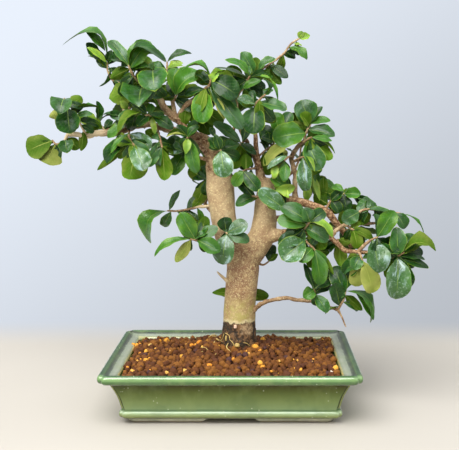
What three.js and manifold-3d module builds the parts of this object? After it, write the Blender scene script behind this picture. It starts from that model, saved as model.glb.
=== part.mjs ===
// Barbados cherry bonsai: a forked trunk with leafy shoots, in soil, in a glazed rectangular pot.
// Millimetres, +Z up. The tree is seen from its front: +X runs to the right and +Y to the back.

import * as THREE from "three";
import { mergeVertices } from "three/addons/utils/BufferGeometryUtils.js";
import Module from "manifold-3d";

const wasm = await Module();
wasm.setup();

// Driving dimensions

const gap = 0.3; // left between pieces that rest on or in each other

const pot = {
  halfLength: 120.4,
  halfDepth: 90.4,
  corner: 6, // plan radius of the corners, each with an upright groove
  footHeight: 5.2,
  footInset: 24,
  footWidth: 15,
  archHalfFront: 23, // half the gap between the feet, along the front and the back
  archHalfSide: 16,
  floor: 11, // height of the inside floor
  // height, and how far the outside stands in from the widest line of the rim
  outside: [[5.2, 20.2], [6.6, 17.9], [12.2, 17.4], [13.6, 18.8], [22, 17.3], [31, 14], [39.6, 9.8],
    [41.4, 7.2], [42.2, 2.2], [45, 0.1], [48.2, 0.2], [50.1, 1.6], [50.8, 3.4]],
  // the same for the inside, from the floor up over the flat ledge to the bead
  inside: [[11, 28], [43.5, 18.2], [46.6, 16.9], [48.2, 8.2], [48.9, 6.4], [51.6, 4.4]],
  innerCorner: 8,
};

const drain = { x: 50, radius: 8, screenSide: 30, screenThick: 1.2, mesh: 8, pitch: 12 };

const soil = {
  level: 46, // height along the pot's walls
  mound: 9.5, // how much higher it lies against the trunk
  moundReach: 46,
  grain: 10.4, // spacing of the grains, a little larger than life
  relief: 1.7,
  walls: [[11.3, 28.3], [43.5, 18.5], [46.6, 17.3], [70, 17.3]], // height, and inset from the rim
};

const blade = { thick: 0.8, clearance: 0.25, jitter: 9, pointedFrom: 9.5, bluntFrom: 14,
  rootClear: 1.4, rootShare: 0.2, mostSwing: 30 };

const twig = { baseRadius: 1.35, tipRadius: 0.95, sides: 4 };

// Routes and leaves are drawn on a sheet through the trunk, square to the line of sight from the
// front, which looks a little down. A sheet point [x, z] is carried along that line to its depth y,
// so the front view stays as it is drawn. x is from the pot's middle, z from about the table.

const eye = new THREE.Vector3(25.4, -840.5, 276.5);
const lookDown = THREE.MathUtils.degToRad(6.76);
const sheetDistance = 864;
const sheetMiddle = { x: 25.2, z: 175 };
const towardEye = new THREE.Vector3(0, -1, 0.3).normalize();

function atDepth(x, z, y) {
  const up = z - sheetMiddle.z;
  const ray = new THREE.Vector3(
    x - sheetMiddle.x,
    sheetDistance * Math.cos(lookDown) + up * Math.sin(lookDown),
    -sheetDistance * Math.sin(lookDown) + up * Math.cos(lookDown),
  );
  return eye.clone().addScaledVector(ray, (y - eye.y) / ray.y);
}

// Wood: each limb is a list of [x, z, y, radius] on the sheet, from its root to its tip

const limbs = {
  trunk: [[6.4, 36, 18, 14], [6.4, 50, 18, 18.6], [6.4, 60, 18, 18.3], [6.6, 78, 18, 16.5],
    [7, 97, 18, 16], [8.6, 119, 18, 16.2], [10, 134, 18, 16.4], [10, 144, 18, 11.5]],
  rightLimb: [[11, 134, 18, 13], [20, 150, 18, 14], [28.5, 163, 18, 13], [32, 180, 19, 12],
    [31.8, 195, 20, 10], [33, 210, 21, 8.8], [34, 222, 22, 8]],
  leftLimb: [[9, 134, 18, 13], [0, 152, 17, 13.5], [-6, 168, 16, 12.8], [-9, 180, 15, 12.6],
    [-11, 195, 14, 13.2], [-13, 212, 13, 13.8], [-14.5, 226, 12, 12]],
  rightKnob: [[30, 163, 16, 9], [42, 165, 12, 7], [50, 166, 9, 4.5]],
  leader: [[-19, 212, 12, 7], [-21, 232, 12, 6.3], [-21, 248, 12, 5.8], [-26, 258, 11, 6],
    [-37, 264, 10, 5], [-45, 269, 9, 4.2], [-53, 278, 8, 3.8], [-61, 284, 7, 3.3]],
  topLeftBranch: [[-57, 281, 7, 3], [-68, 292, 7, 3.2], [-75, 303, 8, 3], [-81, 311, 9, 2.4],
    [-90, 312, 10, 2]],
  upperMiddleBranch: [[-56, 280, 8, 2.6], [-48, 294, 4, 2.6], [-36, 303, -2, 2.2], [-30, 309, -6, 1.9]],
  upperBackBranch: [[-57, 281, 8, 2.6], [-61, 300, 18, 2.2], [-63, 309, 24, 1.8]],
  leftArm: [[-48, 271, 9, 3.2], [-58, 269, 10, 3.2], [-70, 272, 12, 3], [-83, 275.5, 13, 2.8],
    [-94, 274.5, 13, 2.7], [-103, 272, 12, 2.7], [-110, 268.5, 11, 2.7], [-126, 267, 9, 3],
    [-138, 266.5, 7, 2.4], [-147, 263.5, 5, 2.1], [-155, 265, 3, 2.2], [-167, 266.5, 1, 2.2]],
  leftArmTwig: [[-58, 280, 7, 1.8], [-68, 282.5, 4, 1.6], [-81, 284, 0, 1.3]],
  leftSideTwig: [[-22, 240, 10, 2], [-36, 243, 7, 1.7], [-43, 246, 5, 1.4]],
  innerStem: [[30, 214, 20, 5], [26, 230, 20, 4], [23.5, 245, 18, 2.9], [22.5, 262, 14, 2.3],
    [22, 280, 8, 1.9], [22, 292, 3, 1.6]],
  innerLeftStem: [[24.5, 236, 20, 2.6], [18, 250, 23, 2.4], [13, 260, 26, 2.2], [7, 271, 28, 2],
    [4, 287, 28, 1.9], [4, 305, 27, 1.8], [10, 315, 26, 1.6], [17, 322, 26, 1.5]],
  rightBranch: [[38, 194, 17, 5], [50, 200, 13, 4.4], [60.5, 199.5, 10, 4.2], [76.5, 195.5, 7, 4],
    [94, 188, 6, 3.9], [103, 177, 6, 3.6], [112.5, 165.5, 7, 3.1], [119, 152, 8, 2.7]],
  rightStem: [[62, 200, 10, 3], [62, 214, 15, 2.7], [62, 228, 18, 2.7], [59, 237, 19, 2.6],
    [60, 247, 18, 2.5], [65, 253, 17, 2.3], [72, 260, 16, 2.1]],
  lowerRightBranch: [[46, 166, 10, 4.2], [58, 168, 0, 3.2], [68, 166, -7, 2.9], [82, 167, -12, 2.7],
    [92, 166, -15, 2.6], [98, 162, -16, 2.6], [105, 156, -17, 2.5], [112, 149.5, -18, 2.5],
    [126, 148, -20, 2.4], [138, 147, -22, 2.1], [150, 145, -24, 1.9], [161, 141, -26, 1.7]],
  rightForkTwig: [[125, 148, -20, 1.9], [131, 154, -23, 1.7], [137, 160, -25, 1.5]],
  middleRightBranch: [[98, 162.5, -16, 2.1], [103, 169.5, -10, 2.1], [113, 175.5, -5, 2],
    [130, 176, -2, 1.7], [146, 177.5, 0, 1.4]],
  lowRightBranch: [[17, 86, 14, 4], [25, 94, 10, 3.2], [33, 98.3, 6, 2.8], [51.8, 102, 0, 2.6],
    [66.7, 99.8, -4, 2.6], [84, 97.7, -8, 2.3], [97.8, 92, -11, 2.2], [105, 90, -13, 2.7]],
  lowRightSpur: [[105, 90, -13, 1.5], [109, 82, -15, 1.2], [113, 73, -17, 0.9]],
  leftLowTwig: [[-18, 196, 11, 2.2], [-26, 194, 14, 1.6], [-33, 193, 17, 1.4]],
  leftFrontTwig: [[-10, 158, 10, 2], [-22, 158.5, -2, 1.5], [-31, 159, -8, 1.3]],
  stub: [[-5, 118, 12, 1.9], [-15.5, 128, 6, 1.1]],
  backLeftBranch: [[-12, 214, 18, 5], [-20, 236, 34, 3.4], [-34, 256, 47, 2.6], [-50, 272, 56, 2]],
  backMiddleBranch: [[-12, 222, 16, 4.4], [-8, 242, 34, 3], [-2, 260, 48, 2.3], [2, 276, 56, 1.8]],
  backRightBranch: [[33, 196, 26, 5], [42, 210, 42, 3.4], [52, 222, 54, 2.6], [62, 230, 62, 2]],
  backLowBranch: [[32, 176, 27, 4.4], [46, 182, 44, 3], [66, 180, 58, 2.4], [88, 174, 66, 1.8]],
  backLowLeftBranch: [[-12, 184, 20, 4.2], [-22, 190, 32, 2.8], [-29, 197, 41, 2]],
  backArmTwig: [[-94, 276, 13, 2.2], [-100, 284, 22, 1.7], [-110, 290, 32, 1.5]],
  backRightTwig: [[94, 188, 6, 2.2], [104, 192, 22, 1.8], [116, 196, 36, 1.5]],
};

// Shoots: a route of [x, z, y] that starts in the wood, and its leaves. A leaf is
// [root x, root z, tip x, tip z, how far the tip leans to the front, width, roll, bow]: roll 0 turns
// the upper face to the front, 90 upwards and 180 to the back, and bow is the rise of its middle.

const shoots = [
  { name: "far_left_tip", route: [[-165, 266, 1], [-170, 258, -4], [-177, 256, -6], [-181, 260, -7]],
    leaves: [[-180, 259, -206, 248, 2, 25, 15, 2], [-177, 257, -189, 237, 9, 24, 175, 2],
      [-168, 260, -166, 248, 8, 15, 10, 1], [-167, 263, -154, 251, -3, 12, 175, 1]] },
  { name: "far_left_crown",
    route: [[-147, 264, 5], [-152, 275, -3], [-160, 286, -9], [-167, 294, -13], [-169, 302, -14]],
    leaves: [[-166, 291, -163, 267, 10, 24, 5, 2], [-169, 301, -173, 285, 15, 21, 0, 4],
      [-166, 293, -151, 303, -4, 13, 170, 1], [-165, 291, -184, 283, -6, 11, 160, 1],
      [-162, 288, -135, 296, -3, 11, 72, 1], [-158, 284, -141, 287, 5, 8, 20, 1],
      [-150, 270, -150, 250, -6, 9, 180, 1]] },
  { name: "left_arm_outer", route: [[-127, 267, 9], [-131, 273, 16], [-137, 279, 22]],
    leaves: [[-131, 273, -150, 281, 12, 10, 35, 1], [-137, 276, -154, 286, -5, 14, 175, 1],
      [-136, 277, -135, 299, 2, 11, 55, 1], [-134, 276, -115, 284, -3, 5, 80, 5],
      [-133, 274, -148, 266, 2, 7, 190, 1]] },
  { name: "left_arm_middle",
    route: [[-109, 270, 11], [-107, 278, 1], [-101, 284, -8], [-96, 287, -13]],
    leaves: [[-98, 286, -114, 280, 9, 14, 20, 1], [-105, 281, -130, 288, -6, 10, 40, 1],
      [-106, 279, -126, 263, 5, 12, 20, 1], [-106, 280, -122, 272, -6, 9, 150, 1]] },
  { name: "left_arm_upper", route: [[-79, 284, 0], [-84, 285, -7], [-88, 285, -10]],
    leaves: [[-86, 284, -116, 264, 14, 11, 40, 10], [-84, 283, -96, 275, 9, 12, 10, 1],
      [-80, 281, -78, 266, 6, 6, 0, 1], [-81, 283, -60, 273, 9, 13, 20, 1],
      [-83, 285, -82, 297, -2, 8, 0, 1]] },
  { name: "left_arm_under",
    route: [[-103, 273, 12], [-104, 266, -6], [-103, 260, -15], [-98, 254, -21]],
    leaves: [[-103, 266, -82, 253, 10, 16, 0, 2], [-104, 266, -123, 249, 8, 8, 20, 0],
      [-104, 264, -131, 239, -6, 16, 15, 2], [-104, 262, -135, 230, -16, 9, 170, 1],
      [-102, 260, -120, 240, -10, 12, 180, 1], [-98, 254, -103, 220, 4, 26, 170, 2],
      [-98, 255, -88, 229, 13, 19, 5, 2]] },
  { name: "left_arm_inner", route: [[-76, 273, 12], [-74, 265, 0], [-72, 257, -10], [-71, 252, -13]],
    leaves: [[-73, 260, -84, 233, 8, 11, 25, 1], [-71, 252, -68, 220, -2, 16, 175, 2],
      [-74, 262, -88, 269, 2, 10, 160, 3], [-72, 256, -60, 246, -8, 10, 170, 1]] },
  { name: "leader_side", route: [[-41, 245, 8], [-45, 247.5, 14], [-49, 249, 18]],
    leaves: [[-48, 249, -67, 259, 3, 18, 10, 1], [-48, 249, -61, 225, 7, 16, 0, 2],
      [-42, 245.5, -40, 236, -4, 9, 180, 0]] },
  { name: "leader_front", route: [[-42, 266, 9], [-44, 263, -4], [-46, 262, -13]],
    leaves: [[-44, 262, -37, 227, 7, 14, 0, 3], [-45, 262, -66, 264, 2, 13, 80, 2],
      [-44, 264, -37, 280, 6, 11, 0, 1], [-45, 263, -56, 275, 4, 10, 0, 1],
      [-46, 262, -52, 254, -3, 8, 10, 1], [-45, 261, -47, 247, 8, 8, 10, 1]] },
  { name: "top_left_front", route: [[-88, 312, 10], [-93, 316, 2], [-97, 321, -4], [-103, 330, -10]],
    leaves: [[-91, 311, -93, 287, 27, 34, 0, 4], [-91, 313, -111, 319, 6, 9, 70, 2],
      [-98, 317, -122, 301, -8, 22, 178, 2], [-96, 320, -90, 329, -2, 7, 30, 1],
      [-99, 325, -84, 334, 6, 12, 40, 4]] },
  { name: "top_left_arch", route: [[-100, 325, -5], [-103, 331, -9], [-105, 335, -11]],
    leaves: [[-103, 331, -84, 359, 4, 21, 15, 3], [-103, 333, -66, 338, -2, 17, 45, 17],
      [-104, 331, -122, 322, -6, 12, 150, 1], [-103, 332, -97, 342, -4, 8, 0, 1],
      [-105, 334, -124, 361, -7, 13, 25, 2],
      [-105, 334, -108, 354, -4, 13, 15, 1]] },
  { name: "top_left_tall",
    route: [[-88, 312, 10], [-101, 313.5, 15], [-113, 317, 19], [-121, 320, 22], [-125, 328, 24],
      [-125.5, 338, 26]],
    leaves: [[-126, 339, -168, 361, 6, 17, 62, 23], [-126, 336, -147, 357, 4, 13, 20, -2],
      [-126, 337, -145, 346, -7, 9, 40, 1], [-125, 337, -121, 350, 3, 8, 10, 1],
      [-125, 335, -113, 348, -5, 10, 0, 1], [-125, 336, -132, 313, 5, 8, 75, 5],
      [-125, 338, -110, 346, 5, 12, 25, 1]] },
  { name: "top_left_hero", route: [[-76, 304, 8], [-79, 317, -2], [-80, 330, -9]],
    leaves: [[-80, 330, -78, 308, 18, 29, 5, 4], [-80, 328, -98, 326, 5, 11, 40, 4],
      [-80, 330, -93, 343, -4, 12, 30, 2]] },
  { name: "top_left_back", route: [[-63, 308, 24], [-65, 320, 28], [-66, 331, 31], [-66, 338, 32]],
    leaves: [[-66, 338, -42, 348, 2, 10, 35, 3], [-66, 337, -90, 347, -2, 13, 50, 4],
      [-66, 331, -50, 337, 5, 9, 20, 2], [-66, 330, -85, 334, 4, 14, 20, 1],
      [-64, 314, -74, 307, -4, 11, 175, 1]] },
  { name: "top_middle_left", route: [[-60, 298, 16], [-58, 302, 8], [-56, 305, 2]],
    leaves: [[-57, 304, -32, 327, 6, 21, 25, 8], [-56, 304, -36, 313, -7, 14, 170, 2],
      [-57, 303, -46, 298, -6, 8, 0, 1], [-58, 302, -72, 309, -6, 12, 175, 1],
      [-57, 304, -59, 333, -4, 16, 10, 2]] },
  { name: "top_middle", route: [[-32, 307, -4], [-27, 312, -11], [-23, 316, -16], [-22, 322, -19]],
    leaves: [[-29, 310, -30, 276, 10, 21, 0, 3], [-23, 313, 9, 270, 9, 17, 10, 3],
      [-25, 312, -8, 282, 2, 8, 30, 1], [-22, 320, 5, 305, 9, 22, 0, 3],
      [-22, 318, 5, 297, 14, 9, 45, 3], [-22, 320, -50, 333, 2, 11, 50, 9],
      [-24, 315, -36, 329, -6, 14, 170, 2], [-23, 318, -15, 327, 5, 9, 0, 1],
      [-22, 321, -9, 331, -4, 10, 50, 1]] },
  { name: "top_middle_back", route: [[-36, 303, -2], [-38, 299, 8], [-40, 294, 16]],
    leaves: [[-38, 299, -45, 279, 2, 16, 175, 2], [-39, 297, -22, 290, 4, 14, 170, 1],
      [-39, 294, -23, 265, -6, 17, 175, 2],
      [-39, 297, -10, 276, -2, 15, 170, 1]] },
  { name: "right_shoot_tip",
    route: [[16, 321, 26], [29, 331, 26], [39, 337.5, 28], [48, 344, 28], [52, 348, 28], [58, 356, 28],
      [67, 361.5, 28]],
    leaves: [[67, 361, 77, 365, 1, 8, 10, 0], [59, 357, 69, 355, 3, 6, 40, 0],
      [56, 352, 74, 340, 6, 12, 30, 3], [67, 361, 69, 369, 0, 7, 0, 0], [36, 335, 55, 322, 5, 11, 10, 1],
      [35, 334, 48, 315, 2, 10, 175, 1], [24, 328, 43, 341, 5, 11, 30, 3],
      [20, 325, 8, 348, 2, 14, 10, 2],
      [19, 324, 23, 343, -3, 13, 170, 1], [26, 329, 39, 321, -2, 13, 15, 1]] },
  { name: "right_shoot_base", route: [[5, 305, 27], [9, 311, 18], [14, 318, 12], [17, 324, 9]],
    leaves: [[16, 324, -6, 343, 4, 10, 35, 5], [15, 322, -18, 335, -3, 10, 50, 2],
      [16, 322, 48, 303, 9, 9, 60, 8], [12, 315, 29, 323, 6, 13, 10, 1],
      [10, 312, 32, 304, 5, 12, 15, 1], [7, 308, -10, 318, 3, 11, 25, 1]] },
  { name: "middle_front", route: [[22, 286, 6], [22, 294, -8], [26, 300, -14], [33, 306, -17]],
    leaves: [[22, 294, 21, 265, 9, 23, 0, 3], [24, 297, 54, 290, 6, 14, 20, 2],
      [22, 296, 4, 301, 4, 11, 20, 1], [23, 296, 42, 278, -6, 14, 170, 2],
      [33, 305, 32, 322, 2, 8, 65, 4], [30, 303, 40, 311, -3, 8, 20, 1]] },
  { name: "middle_low", route: [[13, 260, 26], [9, 257, 16], [7, 255, 10]],
    leaves: [[7, 255, -13, 250, 6, 13, 20, 1], [8, 256, 24, 247, 9, 9, 45, 2],
      [9, 257, 12, 229, -2, 14, 0, 2], [8, 257, -22, 276, 3, 13, 20, 2],
      [10, 258, 18, 236, -6, 13, 175, 1],
      [8, 256, 1, 231, -3, 14, 175, 1]] },
  { name: "fork_front", route: [[-19, 246, 9], [-15, 249, -4], [-12, 250, -12]],
    leaves: [[-12, 250, -8, 223, 9, 20, 0, 3], [-13, 250, -25, 262, 4, 11, 10, 1],
      [-13, 251, -18, 266, 2, 9, 0, 1]] },
  { name: "inner_front", route: [[25, 232, 18], [16, 231, 4], [10, 229, -5]],
    leaves: [[10, 229, 26, 209, 6, 14, 5, 2], [11, 230, 0, 214, 2, 13, 10, 1],
      [13, 230, 13, 246, -5, 12, 175, 1]] },
  { name: "left_limb_back", route: [[-22, 219, 14], [-28, 222, 24]],
    leaves: [[-26, 221, -39, 193, 0, 15, 180, 2], [-28, 222, -34, 244, -5, 13, 180, 1], [-28, 222, -45, 230, -2, 14, 170, 1]] },
  { name: "left_low",
    route: [[-30, 193.5, 16], [-38, 192.5, 20], [-48, 190, 24], [-58, 189, 28], [-66, 189, 31]],
    leaves: [[-66, 190, -86, 159, 7, 22, 40, 16], [-64, 190, -53, 210, 4, 8, 20, 0],
      [-57, 189, -31, 177, 8, 13, 20, 2], [-36, 192, -31, 172, -2, 9, 40, 1]] },
  { name: "left_front", route: [[-28, 159, -5], [-37, 160, -12], [-43, 161, -15]],
    leaves: [[-37, 160, -53, 187, 7, 18, 0, 2], [-43, 161, -80, 146, 4, 11, 35, 5],
      [-42, 160, -57, 138, 2, 11, 175, 1], [-36, 160, -13, 148, 9, 15, 5, 2],
      [-36, 161, -15, 173, 0, 13, 20, 1],
      [-34, 160, -27, 184, -4, 13, 170, 1]] },
  { name: "fork_low_front", route: [[-7, 171, 4], [-7, 168, -4], [-6, 166, -10]],
    leaves: [[-7, 166, -11, 136, 9, 22, 0, 3], [-7, 168, -9, 183, 3, 15, 5, 1],
      [-6, 166, 16, 160, 6, 13, 10, 1], [-6, 167, 16, 176, 1, 16, 15, 1]] },
  { name: "fork_back_right", route: [[24, 138, 18], [30, 135, 20], [36, 139, 22]],
    leaves: [[36, 139, 39, 158, -1, 12, 10, 1], [35, 138, 45, 146, -3, 6, 175, 0]] },
  { name: "trunk_back_low", route: [[8, 106, 31], [8, 107, 42]],
    leaves: [[8, 108, -21, 108, 1, 9, 10, 1], [8, 107, 36, 104, 1, 13, 175, 1],
      [8, 107, 16, 124, -12, 14, 175, 1]] },
  { name: "right_knob_upper", route: [[68, 166, -8], [72, 172, -16], [77, 178, -22]],
    leaves: [[72, 172, 95, 158, 8, 15, 15, 3], [76, 177, 100, 164, 12, 12, 40, 6],
      [74, 174, 45, 181, 5, 15, 10, 2], [76, 178, 49, 195, -2, 17, 5, 2],
      [77, 178, 72, 192, 4, 13, 5, 1], [77, 178, 92, 190, 0, 14, 0, 2],
      [73, 173, 92, 151, 1, 14, 172, 2]] },
  { name: "right_limb_front", route: [[46, 198, 14], [53, 193, 2], [54, 189, -6]],
    leaves: [[54, 189, 24.5, 210, 7, 17, 8, 2], [53, 191, 66, 177, 2, 10, 10, 1]] },
  { name: "right_limb_side", route: [[32, 203, 14], [25, 203, 6], [19, 204, 2]],
    leaves: [[23, 203, 2, 196, 2, 12, 20, 1], [19, 204, 6, 219, 0, 16, 10, 1]] },
  { name: "right_stem_low", route: [[62, 213, 15], [58, 213, 5], [54, 211, 0]],
    leaves: [[62, 213, 42, 214, 10, 11, 10, 1], [55, 211, 42, 204, 2, 10, 30, 1],
      [54, 212, 38, 223, -2, 12, 10, 1]] },
  { name: "right_stem_left", route: [[60, 243, 17], [55, 243, 7], [51, 239, 1]],
    leaves: [[56, 244, 30, 237, 6, 16, 168, 3], [52, 240, 34, 232, 9, 9, 25, 1],
      [51, 239, 51, 218, 5, 11, 0, 1], [52, 240, 40, 221, -2, 10, 172, 1]] },
  { name: "right_crown_low", route: [[70, 257, 16], [74, 260, 5], [79, 263, -3]],
    leaves: [[73, 259, 87, 229, 9, 20, 5, 3], [78, 262, 97, 240, -4, 14, 175, 2],
      [79, 263, 99, 259, 0, 9, 30, 1], [79, 263, 105, 250, 3, 8, 45, 2]] },
  { name: "right_crown_top", route: [[71, 259, 17], [73, 266, 16], [75, 272, 18], [78, 276, 19]],
    leaves: [[73, 267, 40, 262, 8, 25, 5, 3], [75, 270, 102, 264, 6, 14, 10, 2],
      [78, 276, 97, 281, 4, 11, 30, 1], [76, 275, 68, 300, 0, 24, 5, 2],
      [76, 274, 65, 287, 8, 14, 20, 1], [78, 276, 90, 293, -5, 10, 30, 1]] },
  { name: "right_stem_right", route: [[62, 239, 17], [67, 242, 10], [71, 243, 5]],
    leaves: [[70, 242, 73, 209, 8, 15, 0, 3], [71, 243, 85, 233, -2, 12, 0, 1],
      [69, 242, 84, 226, -8, 14, 172, 1]] },
  { name: "right_stem_inner", route: [[62, 225, 18], [69, 225, 24], [76, 224, 26], [82, 222, 27]],
    leaves: [[77, 223.5, 87, 198, 5, 8, 20, 1], [73, 224, 74, 198, 1, 10, 10, 1],
      [82, 222, 94, 207, 2, 13, 175, 1], [81, 222, 87, 236, -4, 10, 10, 1],
      [82, 221, 105, 211, 0, 10, 15, 1]] },
  { name: "right_arm_upper",
    route: [[92, 189, 6], [97, 198, 12], [103, 204, 16], [112, 206, 18], [123, 204, 20]],
    leaves: [[97, 199, 110, 211, 3, 10, 10, 1], [111, 206, 128, 206, 5, 12, 0, 1],
      [122, 204, 145, 190, 1, 11, 20, 1], [110, 206, 114, 189, 5, 13, 0, 1],
      [98, 200, 107, 187, 5, 12, 10, 1], [104, 204, 88, 209, -2, 13, 175, 1],
      [96, 195, 81, 205, -6, 13, 170, 1], [95, 193, 109, 195, -8, 13, 170, 1]] },
  { name: "right_arm_long",
    route: [[116, 176, -4], [122, 184, -9], [130, 190, -12], [145, 190, -10], [160, 187.5, -6],
      [171, 186, -3]],
    leaves: [[127, 188, 110, 179, 6, 15, 5, 1], [133, 190, 163, 183, 3, 10, 45, 2],
      [162, 187, 173, 172, 4, 14, 10, 1], [171, 186, 190, 166, 3, 7, 55, 5],
      [140, 190, 150, 176, -2, 12, 10, 1], [131, 190, 130, 176, -5, 15, 175, 1],
      [124, 186, 136, 200, -4, 13, 10, 1]] },
  { name: "right_arm_inner", route: [[112, 175, -5], [117, 172, -13], [121, 170, -18]],
    leaves: [[118, 172, 141, 160, 4, 10, 30, 2], [120, 170, 125, 151, 2, 13, 0, 1],
      [119, 171, 131, 157, -5, 10, 172, 1], [117, 172, 128, 178, -2, 8, 20, 0]] },
  { name: "right_arm_node", route: [[134, 157, -24], [140, 161, -28], [145, 163, -31]],
    leaves: [[144, 163, 161, 189, 6, 17, 5, 2], [135, 158, 146, 127, 12, 23, 5, 3],
      [142, 162, 150, 154, -3, 8, 20, 0]] },
  { name: "right_arm_under", route: [[126, 148, -20], [128, 143, -27], [130, 139, -30]],
    leaves: [[128, 143, 122, 113, 0, 16, 0, 2], [130, 139, 141, 107, 4, 19, 0, 2],
      [128, 144, 120, 131, 7, 13, 5, 1], [127, 146, 112, 125, 1, 16, 5, 2]] },
  { name: "right_arm_crescent", route: [[104, 157, -17], [105, 161, -11]],
    leaves: [[105, 161, 108, 134, 1, 13, 170, 2], [105, 161, 118, 157, 2, 8, 175, 1]] },
  { name: "right_tip", route: [[148, 145.5, -24], [161, 142, -29], [167, 145, -32], [171, 148, -34]],
    leaves: [[164, 144, 164, 172, 4, 16, 5, 2], [171, 149, 203, 150, 6, 18, 35, 11], [170, 147, 182, 166, -4, 15, 10, 1],
      [165, 142, 164, 101, 10, 25, 0, 4], [166, 143, 177, 112, 1, 14, 0, 2],
      [163, 141, 197, 134, 4, 10, 15, 1], [165, 143, 192, 140, 0, 9, 40, 2],
      [160, 142, 148, 150, 4, 13, 5, 1], [154, 144, 156, 164, -5, 14, 170, 1], [162, 141, 152, 124, -5, 10, 175, 1]] },
  { name: "right_knob_hanging",
    route: [[67, 166.5, -7], [71, 161, -14], [76, 156, -19], [82, 150, -22]],
    leaves: [[70, 163, 45, 156, 9, 16, 10, 2], [72, 160, 48, 139, 6, 26, 0, 3],
      [80, 152, 66, 137, 7, 14, 5, 1], [82, 150, 88, 115, 8, 16, 5, 2],
      [81, 151, 92, 134, 1, 12, 0, 1], [78, 154, 84, 163, 3, 8, 0, 1],
      [82, 150, 101, 127, -4, 7, 150, 1],
      [81, 151, 99, 148, -6, 14, 170, 1], [77, 155, 79, 132, -5, 13, 175, 1]] },
  { name: "low_right_end",
    route: [[105, 91, -13], [109, 97, -16], [111.5, 104, -17], [113, 111, -18], [116, 118, -18]],
    leaves: [[112, 105, 101, 134, -4, 17, 0, 3], [113, 109, 141, 80, 5, 17, 45, 13],
      [112, 105, 129, 90, -4, 10, 170, 1],
      [106, 92, 101, 119, 7, 15, 0, 0], [106, 92, 91, 87, 3, 6, 80, 1]] },
  { name: "low_right_middle", route: [[84, 97, -8], [82, 104, -14], [81, 111, -18]],
    leaves: [[81, 110, 71, 103, 7, 13, 5, 1], [84, 106, 95, 88, 9, 13, 10, 1],
      [81, 111, 71, 137, -4, 8, 20, 1], [81, 111, 103, 128, -3, 16, 5, 3]] },
  { name: "inner_back", route: [[24, 243, 19], [32, 249, 25], [41, 257, 30], [48, 267, 34]],
    leaves: [[30, 248, 37, 225, 0, 16, 170, 1], [33, 250, 55, 246, 2, 14, 175, 1],
      [38, 254, 31, 275, -2, 15, 10, 1], [46, 264, 42, 288, 0, 16, 5, 1],
      [48, 267, 58, 288, -4, 14, 10, 1], [42, 258, 27, 262, 4, 12, 20, 1],
      [48, 266, 64, 265, -2, 14, 170, 1]] },
  // shoots of the back, each a row of leaf pairs that a rule turns about its twig
  { name: "back_left", route: [[-48, 271, 55], [-60, 282, 62], [-74, 288, 66], [-88, 290, 66]], pairs: 3,
    seed: 3 },
  { name: "back_top", route: [[1, 275, 55], [4, 287, 60], [6, 298, 62], [4, 308, 60]], pairs: 3, seed: 8 },
  { name: "back_right", route: [[61, 229, 61], [66, 240, 66], [68, 252, 68], [66, 262, 66]], pairs: 3,
    seed: 5 },
  { name: "back_low", route: [[86, 175, 65], [102, 172, 66], [118, 170, 62]], pairs: 3, seed: 12 },
  { name: "back_arm", route: [[-108, 289, 30], [-101, 294, 38], [-93, 298, 42]], pairs: 2, seed: 21 },
  { name: "back_middle", route: [[-28, 196, 39], [-23, 208, 50], [-18, 222, 58], [-16, 236, 62]], pairs: 3,
    seed: 33 },
];

// Leaves that a rule places along a shoot of the back
const pairRule = { length: 29, lengthSpread: 5, width: 0.6, spread: 58, turn: 90, first: 0.28 };

// Where a leaf would cross another piece it is leaned and turned, in degrees, until it is clear
const swings = [[0, 0], [10, 0], [-10, 0], [20, 0], [-20, 0], [0, 8], [0, -8], [30, 0], [-30, 0],
  [15, 12], [15, -12], [-15, 12], [-15, -12], [42, 0], [-42, 0], [30, 18], [30, -18], [-30, 18],
  [-30, -18], [56, 0], [-56, 0], [48, 30], [48, -30], [-48, 30], [-48, -30]];

// Seeded draws, the same on every run
function draws(seed) {
  let state = seed >>> 0;
  return () => {
    state = (state + 0x6d2b79f5) >>> 0;
    let mixed = Math.imul(state ^ (state >>> 15), state | 1);
    mixed = (mixed + Math.imul(mixed ^ (mixed >>> 7), mixed | 61)) ^ mixed;
    return ((mixed ^ (mixed >>> 14)) >>> 0) / 4294967296;
  };
}

// Solids from geometries, and back

function solidOf(geometry) {
  const bare = geometry.clone();
  bare.deleteAttribute("normal");
  bare.deleteAttribute("uv");
  const merged = mergeVertices(bare, 1e-4);
  return new wasm.Manifold(new wasm.Mesh({
    numProp: 3,
    vertProperties: new Float32Array(merged.attributes.position.array),
    triVerts: new Uint32Array(merged.index.array),
  }));
}

function geometryOf(solid) {
  const mesh = solid.getMesh();
  const geometry = new THREE.BufferGeometry();
  geometry.setAttribute("position", new THREE.BufferAttribute(mesh.vertProperties, 3));
  geometry.setIndex(new THREE.BufferAttribute(mesh.triVerts, 1));
  const faceted = geometry.toNonIndexed();
  faceted.computeVertexNormals();
  return faceted;
}

function largestPiece(solid) {
  return solid.decompose().sort((a, b) => b.volume() - a.volume())[0];
}

// Without the slivers that a join leaves
function tidied(solid) {
  return largestPiece(largestPiece(solid).simplify(0.12));
}

function facesGeometry(points, faces) {
  const geometry = new THREE.BufferGeometry();
  geometry.setAttribute("position", new THREE.Float32BufferAttribute(points.flat(), 3));
  geometry.setIndex(faces.flat());
  return geometry;
}

// A stack of rings with the same number of points, closed at both ends by fans
function ringStack(rings) {
  const points = [];
  const faces = [];
  const count = rings[0].length;
  for (const ring of rings) {
    points.push(...ring);
  }
  for (let level = 0; level + 1 < rings.length; level += 1) {
    for (let i = 0; i < count; i += 1) {
      const a = level * count + i;
      const b = level * count + (i + 1) % count;
      faces.push([a, b, b + count], [a, b + count, a + count]);
    }
  }
  const top = (rings.length - 1) * count;
  for (let i = 1; i + 1 < count; i += 1) {
    faces.push([0, i + 1, i], [top, top + i, top + i + 1]);
  }
  return solidOf(facesGeometry(points, faces));
}

// The pot

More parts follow.
